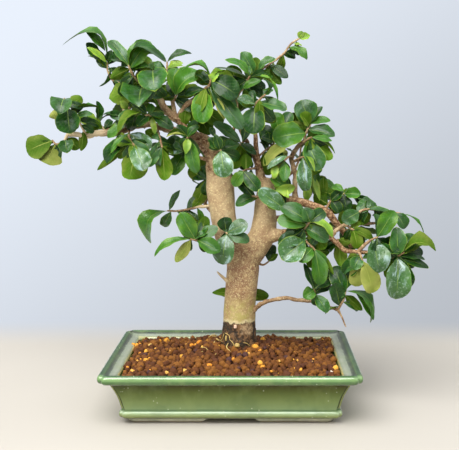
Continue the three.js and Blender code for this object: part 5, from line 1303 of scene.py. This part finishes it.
def makeLeaves(material, settled):
    draw = draws(7)
    mesh = meshOf("leafPoints", [placed(leaf["root"]) for leaf in settled])
    store(mesh, "leafRoot", [placed(leaf["root"]) for leaf in settled], "FLOAT_VECTOR")
    for i, name in enumerate(("leafAlong", "leafFace", "leafSide")):
        store(mesh, name, [leaf["axes"][i] for leaf in settled], "FLOAT_VECTOR")
    sizes = [(leaf["length"] * mm, leaf["width"] * mm, leaf["bow"] * mm) for leaf in settled]
    store(mesh, "leafSize", sizes, "FLOAT_VECTOR")
    store(mesh, "leafSeed", [next(draw) for leaf in settled])
    store(mesh, "leafTone", [leaf["look"] for leaf in settled], "FLOAT_VECTOR")
    store(mesh, "leafPointed", [leaf["pointed"] for leaf in settled])
    carrier = addObject("leafPoints", mesh)
    blade = addObject("unitBlade", unitBlade())
    values = {"Blade": blade, "Thickness": leafLook["thick"] * mm, "Fold": leafLook["fold"],
              "Wave": leafLook["wave"], "Droop": leafLook["droop"],
              "Uneven": leafLook["uneven"], "Material": material}
    leaves = grow("leaves", carrier, leafTree(), values)
    bpy.data.objects.remove(blade)
    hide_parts(*["shoot_" + name for name in shoots])
    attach(leaves, "root")


# Pot: a glazed rectangle with a rolled rim, a flat ledge inside it and grooved corners
potLook = {
    "height": 50.8,
    "halfLength": 120.4,
    "halfDepth": 90.4,
    "corner": 6,
    "rimCorner": 9,
    "rimGroove": 0.28,
    "innerCorner": 8,
    "groove": 0.55,  # how far the corner's middle stands back, as a share of its radius
    "grooveWidth": 0.13,  # as a share of the corner's arc
    "arcPoints": 9,
    "sidePoints": 14,
    "outerRings": 27,  # of the outline below; the others have the inner corner
    "rimFrom": 39,  # the corner gets rounder and the groove shallower from here up, within rimReach
    "rimReach": 3,
    "mouldingTop": 14,  # and the groove also from here down
    "mouldingReach": 2,
    "footHeight": 5.2,
    "footInset": 24,
    "footWidth": 15,
    "archHalfFront": 23,
    "archHalfSide": 16,
    "archFlare": 5.5,
    "floor": 11,
    "drain": (50, 8),  # place along the pot, and radius
    # height, and how far in from the widest line of the rim
    "outside": ((5.2, 20.6), (5.5, 19.3), (6.3, 18.1), (7.8, 17.3), (9.4, 17.0), (11, 17.3), (12.3, 18.2),
        (13.1, 19.1), (14.3, 19.2), (18, 18.1), (22, 17.2), (27, 15.7), (31, 14), (35.5, 12), (39.6, 9.6),
        (41, 8.2), (41.7, 6.4), (41.9, 4.2), (42.2, 2.4), (43, 1.1), (44.2, 0.35), (45.8, 0.05),
        (47.4, 0.1), (48.8, 0.6), (49.9, 1.5), (50.6, 2.7), (50.8, 3.8), (50.5, 4.9), (49.7, 5.9),
        (48.8, 6.8), (48.3, 8), (48.0, 9.2), (47.5, 12.5), (47.0, 15.4), (46.3, 16.8), (45.2, 17.5),
        (43.5, 18.2), (30, 22.4), (13, 27.6), (11.4, 28.4), (11, 30)),
}


def planRing(shape, z, inset, corner, groove=0.0):
    halfX, halfY = potLook["halfLength"] - inset, potLook["halfDepth"] - inset
    spots = []
    last = potLook["arcPoints"] - 1
    for sx, sy in ((1, -1), (1, 1), (-1, 1), (-1, -1)):
        arc = []
        for i in range(last + 1):
            turn = math.pi / 2 * i / last
            dip = 1 - groove * math.exp(-((i / last - 0.5) / potLook["grooveWidth"]) ** 2)
            arc.append((sx * (halfX - corner + corner * math.sin(turn) * dip),
                        sy * (halfY - corner + corner * math.cos(turn) * dip)))
        spots += arc[::-1] if sx * sy > 0 else arc
    ring = []
    for i, (x, y) in enumerate(spots):
        ring.append((x, y))
        if i % (last + 1) == last:
            nextX, nextY = spots[(i + 1) % len(spots)]
            for step in range(1, potLook["sidePoints"]):
                share = step / potLook["sidePoints"]
                ring.append((x + (nextX - x) * share, y + (nextY - y) * share))
    return [shape.verts.new(placed((x, y, z))) for x, y in ring]


def ringShell(name, rings):
    shape = bmesh.new()
    skin(shape, [planRing(shape, *ring) for ring in rings])
    bmesh.ops.recalc_face_normals(shape, faces=shape.faces)
    return fromShape(name, shape)


# A box whose lower edges stand out further, as the gaps between the feet do
def boxShell(name, halfX, halfY, halfZ, flareX=0, flareY=0):
    shape = bmesh.new()
    bmesh.ops.create_cube(shape, size=2)
    for vertex in shape.verts:
        wide = 1 if vertex.co.z < 0 else 0
        vertex.co = placed((vertex.co.x * (halfX + flareX * wide), vertex.co.y * (halfY + flareY * wide),
                            vertex.co.z * halfZ))
    return fromShape(name, shape)


def combine(target, other, operation):
    cut = target.modifiers.new("cut", "BOOLEAN")
    cut.operation = operation
    cut.solver = "EXACT"
    cut.object = other
    settle(target)
    bpy.data.objects.remove(other)


def glazeMaterial():
    material, tree, shader = newMaterial("glaze")
    place = objectPlace(tree)
    height = split(tree, place)["Z"]
    broad = grain(tree, place, 16, 3, 0.5)
    wobble = maths(tree, "MULTIPLY_ADD", broad, 0.0012, -0.0006)
    level = times(tree, maths(tree, "ADD", height, wobble), 1 / (potLook["height"] * mm))
    # Colour by height with painted light in it: the feet pale cream, partly painted light against the shade
    # under the pot; a painted shadow line under the moulding; the moulding darker below and with a painted
    # highlight along its top; painted shade in the crease above it; the body darkening towards the rim as
    # painted shade under it; on the bead a darker lower half as painted shade and a pale band that is a
    # painted highlight over thin glaze
    bandsWithPaintedLight = ramp(tree, level, [
        (0.0, rgb(140, 112, 74)), (0.012, rgb(140, 112, 74)), (0.024, rgb(234, 230, 208)),
        (0.085, rgb(208, 210, 180)), (0.102, rgb(46, 52, 26)), (0.122, rgb(98, 104, 54)),
        (0.18, rgb(128, 144, 84)), (0.228, rgb(178, 202, 158)), (0.262, rgb(74, 104, 66)),
        (0.29, rgb(124, 146, 98)), (0.42, rgb(120, 138, 82)), (0.6, rgb(98, 112, 54)),
        (0.74, rgb(73, 77, 30)), (0.798, rgb(54, 50, 18)), (0.824, rgb(208, 202, 140)),
        (0.842, rgb(58, 92, 32)), (0.9, rgb(62, 104, 42)), (0.935, rgb(122, 158, 96)),
        (0.965, rgb(130, 164, 106)), (1.0, rgb(36, 78, 36))])
    apart = vectors(tree, "ABSOLUTE", vectors(tree, "SUBTRACT", place, tuple(potMiddle)))
    inward = vectors(tree, "SUBTRACT", (potLook["halfLength"] * mm, potLook["halfDepth"] * mm, 0), apart)
    inwardX, inwardY, unused = split(tree, inward)
    inset = times(tree, maths(tree, "MINIMUM", inwardX, inwardY), 1000.0)  # in millimetres
    stain = grain(tree, place, 70, 4, 0.65)
    ledge = ramp(tree, maths(tree, "MULTIPLY_ADD", stain, 0.28,
                             maths(tree, "MULTIPLY_ADD", inset, 0.09, -0.74)), [
        (0.0, rgb(66, 84, 56)), (0.08, rgb(44, 52, 42)), (0.2, rgb(72, 84, 66)),
        (0.34, rgb(144, 154, 134)), (0.66, rgb(162, 169, 148)), (0.86, rgb(146, 155, 128)),
        (0.93, rgb(188, 186, 128)), (1.0, rgb(196, 190, 132))])
    onLedge = times(tree, span(tree, inset, 5.4, 6.4), span(tree, height, 0.044, 0.0455))
    # Painted shade in the grooves of the body's corners, with painted highlights along their edges
    corner = maths(tree, "ABSOLUTE", maths(tree, "SUBTRACT", inwardX, inwardY))
    paintedCreaseLight = ramp(tree, times(tree, corner, 250.0), [
        (0.0, rgb(40, 44, 20)), (0.32, rgb(44, 52, 24)), (0.5, rgb(168, 170, 104)),
        (0.8, rgb(96, 118, 62))])
    low = times(tree, span(tree, height, 0.04, 0.042, 1, 0), span(tree, height, 0.0135, 0.0155))
    paintedCreaseShare = times(tree, span(tree, corner, 0.0026, 0.0036, 0.9, 0), low)
    bandsWithPaintedLight = mix(tree, paintedCreaseShare, bandsWithPaintedLight, paintedCreaseLight)
    bandsWithPaintedLight = mix(tree, onLedge, bandsWithPaintedLight, ledge)
    streaks = node(tree, "ShaderNodeMapping", {"Vector": place, "Scale": (60, 60, 7)}).outputs[0]
    runs = span(tree, grain(tree, streaks, 1.0, 3, 0.6), 0.42, 0.7, 0, 0.28)
    colour = mix(tree, runs, bandsWithPaintedLight, rgb(142, 158, 96))
    cloudy = span(tree, grain(tree, place, 38, 3, 0.6), 0.45, 0.7, 0, 0.28)
    colour = mix(tree, cloudy, colour, rgb(72, 96, 60))
    pits = node(tree, "ShaderNodeTexVoronoi", {"Vector": place, "Scale": 210.0}).outputs["Distance"]
    chosen = span(tree, grain(tree, place, 50, 1), 0.54, 0.57)
    spots = times(tree, span(tree, pits, 0.07, 0.13, 0.8, 0), chosen)
    colour = mix(tree, spots, colour, rgb(206, 212, 178))
    shine = ramp(tree, level, [(0.0, (0.3,) * 3), (0.1, (0.5,) * 3), (0.2, (0.9,) * 3), (0.28, (0.35,) * 3),
                               (0.8, (0.12,) * 3), (0.85, (0.8,) * 3)])
    ripples = bump(tree, grain(tree, place, 55, 2), 0.12, 0.002)
    pitted = bump(tree, times(tree, spots, -1.0), 0.3, 0.0004, ripples)
    give(tree, shader, {"Base Color": colour, "Roughness": 0.2, "Specular IOR Level": shine,
                        "Coat Weight": times(tree, shine, 0.8), "Coat Roughness": 0.14, "Normal": pitted})
    return material


def makePot(material):
    settings = potLook
    rings = []
    for i, (z, inset) in enumerate(settings["outside"]):
        onRim = min(1, max(0, (z - settings["rimFrom"]) / settings["rimReach"]))
        corner = settings["corner"] + (settings["rimCorner"] - settings["corner"]) * onRim
        shallow = max(onRim, min(1, max(0, (settings["mouldingTop"] - z) / settings["mouldingReach"])))
        groove = settings["groove"] + (settings["rimGroove"] - settings["groove"]) * shallow
        outer = i < settings["outerRings"]
        rings.append((z, inset, corner if outer else settings["innerCorner"], groove if outer else 0.0))
    pot = ringShell("glazedPot", rings)
    for side in (-1, 1):
        shape = bmesh.new()
        bmesh.ops.create_cone(shape, cap_ends=True, segments=28, radius1=settings["drain"][1] * mm,
                              radius2=settings["drain"][1] * mm, depth=0.06)
        bmesh.ops.translate(shape, verts=shape.verts, vec=placed((side * settings["drain"][0], 0, 0)))
        combine(pot, fromShape("drainHole", shape), "DIFFERENCE")
    inner = settings["footInset"] + settings["footWidth"]
    top = settings["footHeight"]
    feet = ringShell("feet", [(0, settings["footInset"] + 2.2, 6), (0.5, settings["footInset"] + 1.5, 6),
                              (top + 1, settings["footInset"] - 1.4, 6)])
    combine(feet, ringShell("hollow", [(-1, inner, 6), (top + 2, inner, 6)]), "DIFFERENCE")
    flare = 2 * settings["archFlare"]  # the box reaches as far below the table as above it
    archFront = boxShell(
        "archFront", settings["archHalfFront"] - 1, 2 * settings["halfDepth"], top - 1, flare)
    combine(feet, archFront, "DIFFERENCE")
    archSide = boxShell(
        "archSide", 2 * settings["halfLength"], settings["archHalfSide"] - 1, top - 1, 0, flare)
    combine(feet, archSide, "DIFFERENCE")
    combine(pot, feet, "UNION")
    dress(pot.data, material)
    smooth(pot, 38)
    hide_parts("pot")
    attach(pot, "root")


# Soil: fired clay granules, mostly red-brown with some golden, purple and a few pale ones
soilLook = {
    "level": 45.4,
    "mound": 9.5,
    "moundReach": 46,
    "inset": 20,
    "corner": 7,
    "stumpHole": 16,  # no grains nearer than this to the middle of the trunk's foot
    "swell": 1.6,
    "swellPitch": 0.11,
    "sheetCells": (64, 46),
    "edge": 19.6,
    "bedDepth": 3.4,
    "bedCells": (40, 28),
    "bedTaper": (0.9, 0.87),
    # distance between grains, smallest and largest half size, how deep the layer lies, cuts of a grain, seed
    "layers": {"soilGrains": (4.9, 2.2, 4.0, 0.7, 2, 5), "soilCrumbs": (3.2, 1.0, 2.0, 2.1, 1, 8)},
    # the pale grains seen from the front: place on the sheet, half size, and colour from 0 gold to 1
    "pale": ((-99.4, 54.3, 2.2, 0.1), (-96.5, 53.5, 2.5, 0.1), (-92.8, 55.3, 1.3, 0.2),
        (-83, 53.5, 2.3, 0.6), (-77.6, 50.6, 1.2, 0.4), (-72.9, 58.2, 1.8, 0.1), (-87, 47.7, 2.1, 0.3),
        (-93.2, 45.8, 1.3, 0.1), (-62.5, 64.2, 1.6, 0.2), (-62.3, 48.9, 1.4, 0.5),
        (-46.8, 55.3, 1.0, 0.4), (-41.4, 53.6, 2.2, 0.0), (-37.5, 54.3, 1.6, 0.2), (-33.7, 56, 2.9, 0.0),
        (-31, 52.2, 1.5, 0.4), (-24.8, 58.3, 2.0, 0.3), (-83.2, 40.2, 1.8, 0.2), (-86.8, 38.4, 2.4, 0.2),
        (-92.4, 39.8, 1.4, 0.1), (-95.7, 38.5, 1.3, 0.4), (-105.5, 31.7, 1.5, 0.1),
        (-100.7, 27.3, 2.3, 0.4), (-83.2, 29, 1.3, 0.1), (-66.3, 26.3, 1.9, 0.5), (-48, 27.9, 2.2, 0.5),
        (-23.5, 33.2, 2.6, 0.0), (22.4, 51.6, 3.0, 0.2), (26.9, 48.7, 1.8, 0.1), (15.8, 45.2, 1.8, 0.4),
        (13.3, 48, 1.3, 0.2), (0.6, 39.6, 2.0, 0.0), (27.2, 34.9, 3.0, 0.3), (29.6, 32.2, 2.2, 0.1),
        (38.3, 27.8, 1.3, 0.2), (45.8, 38, 1.6, 0.5), (60.6, 40, 1.0, 0.3), (64.6, 39, 1.2, 0.4),
        (80.2, 39.8, 1.6, 0.1), (79.1, 37.3, 1.2, 0.5), (90.5, 43.8, 1.0, 0.2), (62.4, 30.7, 1.7, 0.3),
        (68, 29.1, 2.0, 0.2), (102.6, 30, 3.0, 0.3), (98.6, 27.1, 1.5, 1.0), (39.4, 54.1, 1.0, 0.4),
        (35.8, 53.5, 1.0, 0.4), (89.9, 60, 1.0, 0.3)),
    # and the purple ones
    "dark": ((-87.8, 44.3, 3.0), (-87.4, 58, 2.0), (31.6, 51.4, 2.0), (53.3, 40.7, 3.0),
        (84.9, 54.1, 2.2), (19.3, 28.2, 2.2), (5.9, 30.9, 2.2), (-84, 26.8, 2.6), (-37.6, 48.5, 2.2),
        (45, 50, 1.8)),
}
trunkFoot = atDepth(*limbs["trunk"][2][:3])


# The mound's height at a place
def soilTop(x, y):
    away = math.hypot(x - trunkFoot.x, y - trunkFoot.y)
    return soilLook["level"] + soilLook["mound"] * math.exp(-((away / soilLook["moundReach"]) ** 2))


def gridSpots(halfX, halfY, columns, rows):
    return [(x, y) for y in np.linspace(-halfY, halfY, rows) for x in np.linspace(-halfX, halfX, columns)]


def gridCells(columns, rows):
    firsts = [row * columns + column for row in range(rows - 1) for column in range(columns - 1)]
    return [(first, first + 1, first + columns + 1, first + columns) for first in firsts]


def soilSheet(depth):
    halfX, halfY = potLook["halfLength"] - soilLook["inset"], potLook["halfDepth"] - soilLook["inset"]
    points = []
    for x, y in gridSpots(halfX, halfY, *soilLook["sheetCells"]):
        swell = soilLook["swell"] * noise.noise(Vector((x, y, depth)) * soilLook["swellPitch"])
        points.append((x, y, soilTop(x, y) + swell - depth))
    faces = []
    for cell in gridCells(*soilLook["sheetCells"]):
        middle = (Vector(points[cell[0]]) + Vector(points[cell[2]])) / 2
        over = Vector((max(0, abs(middle.x) - halfX + soilLook["corner"]),
                       max(0, abs(middle.y) - halfY + soilLook["corner"])))
        away = math.hypot(middle.x - trunkFoot.x, middle.y - trunkFoot.y)
        if over.length < soilLook["corner"] and away > soilLook["stumpHole"]:
            faces.append(cell)
    return meshOf("soilSheet", [placed(point) for point in points], (), faces)


def grainShape(seed, cuts):
    shape = bmesh.new()
    bmesh.ops.create_cube(shape, size=1)
    bmesh.ops.subdivide_edges(shape, edges=shape.edges, cuts=cuts, use_grid_fill=True)
    for vertex in shape.verts:
        out = vertex.co.normalized()
        lump = 1 + 0.42 * noise.noise(out * 1.6 + Vector((seed * 5.1, 0, 0)))
        lump += 0.22 * noise.noise(out * 3.7 + Vector((0, seed * 3.3, 0)))
        vertex.co = (out * 0.42 + vertex.co * 0.16) * lump
        vertex.co.z *= 0.84
    return fromShape("grain", shape)


def onSoil(x, z):
    return firstSeen(x, z, lambda spot: spot.z < soilTop(spot.x, spot.y))


# A closed bed under the grains: a low mound with straight walls, coloured dark as painted shade between the
# grains
def makeBed(material):
    halfX, halfY = potLook["halfLength"] - soilLook["edge"], potLook["halfDepth"] - soilLook["edge"]
    columns, rows = soilLook["bedCells"]
    count = columns * rows
    plan = gridSpots(halfX, halfY, columns, rows)
    tops = [(x, y, soilTop(x, y) - soilLook["bedDepth"]) for x, y in plan]
    taperX, taperY = soilLook["bedTaper"]
    lows = [(x * taperX, y * taperY, potLook["floor"] + 1.4) for x, y in plan]
    faces = []
    for cell in gridCells(columns, rows):
        faces += [cell, tuple(count + i for i in cell[::-1])]
    rim = [*range(columns), *range(2 * columns - 1, count, columns),
           *range(count - 2, count - columns - 1, -1), *range(count - 2 * columns, 0, -columns)]
    for i, first in enumerate(rim):
        second = rim[(i + 1) % len(rim)]
        faces.append((second, first, first + count, second + count))
    bed = addObject("soilBed", meshOf("soilBed", [placed(p) for p in tops + lows], (), faces), material)
    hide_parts("soil")
    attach(bed, "root")


grainInputs = ("Grain A", "Grain B", "Grain C")


# Grains on a sheet, or on the carrier's own points with their own size and colour
def soilTree(scatter):
    tree, inputs, result = newTree("soilGrains", [
        *((name, "Object", None) for name in grainInputs), ("Spacing", "Float", 0.004),
        ("Smallest", "Float", 0.0024), ("Largest", "Float", 0.0044), ("Seed", "Int", 0),
        ("Material", "Material", None)])
    kinds = node(tree, "GeometryNodeGeometryToInstance")
    for name in grainInputs:
        info = node(tree, "GeometryNodeObjectInfo", {"Object": inputs[name], "As Instance": True})
        tree.links.new(info.outputs["Geometry"], kinds.inputs[0])
    draw = lambda low, high, shift: node(tree, "FunctionNodeRandomValue", {
        2: low, 3: high, "Seed": maths(tree, "ADD", inputs["Seed"], float(shift))},
        data_type="FLOAT").outputs[1]
    angle = node(tree, "FunctionNodeRandomValue",
                 {0: (0, 0, 0), 1: (6.28, 6.28, 6.28), "Seed": inputs["Seed"]},
                 data_type="FLOAT_VECTOR").outputs[0]
    if scatter:
        scattered = node(tree, "GeometryNodeDistributePointsOnFaces",
                         {"Mesh": inputs["Geometry"], "Distance Min": inputs["Spacing"],
                          "Density Max": 120000.0,
                          "Seed": inputs["Seed"]}, distribute_method="POISSON").outputs[0]
        skewed = maths(tree, "POWER", draw(0.0, 1.0, 3), 1.7)
        half = node(tree, "ShaderNodeMapRange", {"Value": skewed, "To Min": inputs["Smallest"],
                                                 "To Max": inputs["Largest"]}).outputs[0]
        tone = draw(0.0, 1.0, 9)
    else:
        scattered, half, tone = inputs["Geometry"], named(tree, "grainHalf"), named(tree, "grainColour")
    size = times(tree, half, 2.0)
    pick = node(tree, "FunctionNodeRandomValue", {4: 0, 5: 2, "Seed": inputs["Seed"]},
                data_type="INT").outputs[2]
    grains = node(tree, "GeometryNodeInstanceOnPoints", {
        "Points": scattered, "Instance": kinds.outputs[0], "Pick Instance": True, "Instance Index": pick,
        "Rotation": angle, "Scale": size}).outputs[0]
    tinted = node(tree, "GeometryNodeStoreNamedAttribute", {
        0: grains, "Name": "grainTone", "Value": tone}, data_type="FLOAT", domain="INSTANCE").outputs[0]
    whole = node(tree, "GeometryNodeRealizeInstances", {0: tinted}).outputs[0]
    rounded = node(tree, "GeometryNodeSetShadeSmooth", {0: whole}).outputs[0]
    endTree(tree, rounded, inputs["Material"], result)
    return tree


def soilMaterial(name, plain=None):
    material, tree, shader = newMaterial(name)
    place = objectPlace(tree)
    fine = grain(tree, place, 900, 4, 0.65)
    # A plain dark colour: the painted shade between the grains
    if plain:
        colour = mix(tree, fine, plain, rgb(96, 54, 34))
    else:
        tone = stored(tree, "grainTone")
        colour = ramp(tree, tone, [
            (0.0, rgb(90, 50, 12)), (0.25, rgb(115, 69, 18)), (0.5, rgb(136, 86, 27)),
            (0.78, rgb(104, 60, 17)), (0.93, rgb(92, 52, 28)), (0.975, rgb(80, 52, 50)),
            (0.992, rgb(226, 160, 58))], "CONSTANT")
        colour = mix(tree, span(tree, fine, 0.38, 0.7, 0, 0.4), colour, rgb(72, 38, 16))
        gold = ramp(tree, maths(tree, "SUBTRACT", tone, 2.0), [
            (0.0, rgb(236, 152, 50)), (0.3, rgb(242, 178, 70)), (0.6, rgb(238, 196, 108)),
            (1.0, rgb(236, 230, 214))])
        gold = mix(tree, span(tree, fine, 0.42, 0.7, 0, 0.5), gold, rgb(206, 120, 40))
        colour = mix(tree, maths(tree, "GREATER_THAN", tone, 1.5), colour, gold)
    relief = bump(tree, fine, 0.5, 0.0006)
    give(tree, shader, {"Base Color": colour, "Roughness": 0.85, "Normal": relief})
    return material


def makeSoil(material, under):
    makeBed(under)
    values = {"Material": material}
    shapes = {cuts: [grainShape(seed, cuts) for seed in (1, 2, 3)] for cuts in (1, 2)}
    scattered = soilTree(True)
    for name, (spacing, smallest, largest, depth, cuts, seed) in soilLook["layers"].items():
        values.update(zip(grainInputs, shapes[cuts]))
        values.update({"Seed": seed, "Spacing": spacing * mm, "Smallest": smallest * mm,
                       "Largest": largest * mm})
        grains = grow(name, addObject("soilSheet", soilSheet(depth)), scattered, values)
        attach(grains, "root")
    spots = [(onSoil(x, z) + Vector((0, 0, 0.5 * half)), half, 2 + tone)
             for x, z, half, tone in soilLook["pale"]]
    spots += [(onSoil(x, z) + Vector((0, 0, 0.3 * half)), half, 0.98) for x, z, half in soilLook["dark"]]
    mesh = meshOf("drawnGrains", [placed(spot) for spot, half, tone in spots])
    store(mesh, "grainHalf", [half * mm for spot, half, tone in spots])
    store(mesh, "grainColour", [tone for spot, half, tone in spots])
    grains = grow("paleGrains", addObject("drawnGrains", mesh), soilTree(False), values)
    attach(grains, "root")
    for shape in shapes[1] + shapes[2]:
        bpy.data.objects.remove(shape)


def paintScreens():
    mesh, tree, shader = newMaterial("drainMesh")
    grey = ramp(tree, grain(tree, objectPlace(tree), 260, 3),
                [(0.3, rgb(34, 36, 40)), (0.7, rgb(58, 60, 64))])
    give(tree, shader, {"Base Color": grey, "Roughness": 0.6})
    for name in ("drain_screen_left", "drain_screen_right"):
        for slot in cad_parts[name].material_slots:
            slot.material = mesh


# Stage: pale floor, soft light from the upper left in front, pale grey-blue air
lightLook = {
    # Painted light: the backdrop is dimmer low at the right and brighter high at the left, as the light
    # falls on it
    "wallDim": rgb(180, 185, 192),  # what shows behind the object, from low right to high left
    "wallBright": rgb(234, 242, 254),
    "sky": (0.95, 0.98, 1.0),
    "skyLow": 0.16,  # strength of the air's light at the horizon and overhead
    "skyHigh": 0.9,
    "fadeFrom": 0.32,  # the floor turns into the wall's colour between these distances, in metres
    "fadeTo": 0.8,
    "sweepFrom": 0.2,  # and sooner behind the pot
    "sweepTo": 0.36,
}
# Lamps: place and target in metres, power in watts
lamps = {
    "ceiling": {"place": (-0.3, -0.85, 1.4), "target": (0, 0, 0.1), "size": (1.6, 0.95), "power": 33.0,
                "colour": (1.0, 0.99, 0.97)},
    "window": {"place": (-0.9, -1.1, 0.9), "target": (0, 0, 0.15), "size": (0.9, 0.9), "power": 7.0,
               "colour": (1.0, 0.97, 0.92)},
    "room": {"place": (1.2, -0.7, 0.6), "target": (0, 0, 0.15), "size": (1.0, 1.0), "power": 3.0,
             "colour": (0.95, 0.97, 1.0)},
}


# The wall's painted brightness for each direction from the camera, falling off from the upper left to the
# lower right
def paintedWallLight(tree, direction):
    slope = measured(tree, "DOT_PRODUCT", direction, (-0.56, 0.0, 0.83))
    return mix(tree, span(tree, slope, -0.42, 0.28), lightLook["wallDim"], lightLook["wallBright"])


def makeStage():
    shape = bmesh.new()
    bmesh.ops.create_grid(shape, x_segments=2, y_segments=2, size=50)
    mesh = bpy.data.meshes.new("floor")
    shape.to_mesh(mesh)
    shape.free()
    material, tree, shader = newMaterial("floor")
    place = objectPlace(tree)
    pale = ramp(tree, grain(tree, place, 3, 2), [(0.3, rgb(188, 182, 173)), (0.7, rgb(194, 188, 179))])
    give(tree, shader, {"Base Color": pale, "Roughness": 0.8})
    away = measured(tree, "LENGTH", place)
    behind = split(tree, place)["Y"]
    far = maths(tree, "MAXIMUM", span(tree, away, lightLook["fadeFrom"], lightLook["fadeTo"]),
                span(tree, behind, lightLook["sweepFrom"], lightLook["sweepTo"]))
    fromEye = vectors(tree, "NORMALIZE", vectors(tree, "SUBTRACT", place, tuple(scene.camera.location)))
    # Far off, the floor glows with this painted backdrop brightness instead of being lit
    glow = node(tree, "ShaderNodeEmission", {"Color": paintedWallLight(tree, fromEye)}).outputs[0]
    both = node(tree, "ShaderNodeMixShader", {0: far, 1: shader.outputs[0], 2: glow}).outputs[0]
    tree.links.new(both, tree.nodes["Material Output"].inputs["Surface"])
    addObject("floor", mesh, material)
    world = bpy.data.worlds.new("air")
    world.use_nodes = True
    air = world.node_tree
    toward = node(air, "ShaderNodeTexCoord").outputs["Generated"]
    seen = node(air, "ShaderNodeBackground", {"Color": paintedWallLight(air, toward)}).outputs[0]
    rise = split(air, toward)["Z"]
    strength = span(air, rise, 0.05, 0.85, lightLook["skyLow"], lightLook["skyHigh"])
    light = node(air, "ShaderNodeBackground",
                 {"Color": (*lightLook["sky"], 1), "Strength": strength}).outputs[0]
    direct = node(air, "ShaderNodeLightPath").outputs["Is Camera Ray"]
    air.links.new(node(air, "ShaderNodeMixShader", {0: direct, 1: light, 2: seen}).outputs[0],
                  air.nodes["World Output"].inputs["Surface"])
    scene.world = world
    scene.view_settings.view_transform = "Standard"


def addLight(name, place, target, size, power, colour):
    data = bpy.data.lights.new(name, "AREA")
    data.shape = "RECTANGLE"
    data.size, data.size_y = size
    data.energy = power
    data.color = colour
    light = bpy.data.objects.new(name, data)
    light.location = place
    light.rotation_euler = (Vector(target) - Vector(place)).to_track_quat("-Z", "Y").to_euler()
    scene.collection.objects.link(light)


addCamera()
makeStage()
for name, settings in lamps.items():
    addLight(name, **settings)
makePot(glazeMaterial())
print("pot done")
# The bed's dark brown is painted shade between the grains
makeSoil(soilMaterial("soilGrains"), soilMaterial("soilBed", rgb(58, 32, 20)))
paintScreens()
print("soil done")
makeTrunk(barkMaterial())
makeStems(twigMaterial())
makeRoots()
print("wood done")
makeLeaves(leafMaterial(), innerLeaves(settledLeaves()) + accentLeaves())
print("leaves done")

for data in list(bpy.data.meshes):
    if not data.users:
        bpy.data.meshes.remove(data)
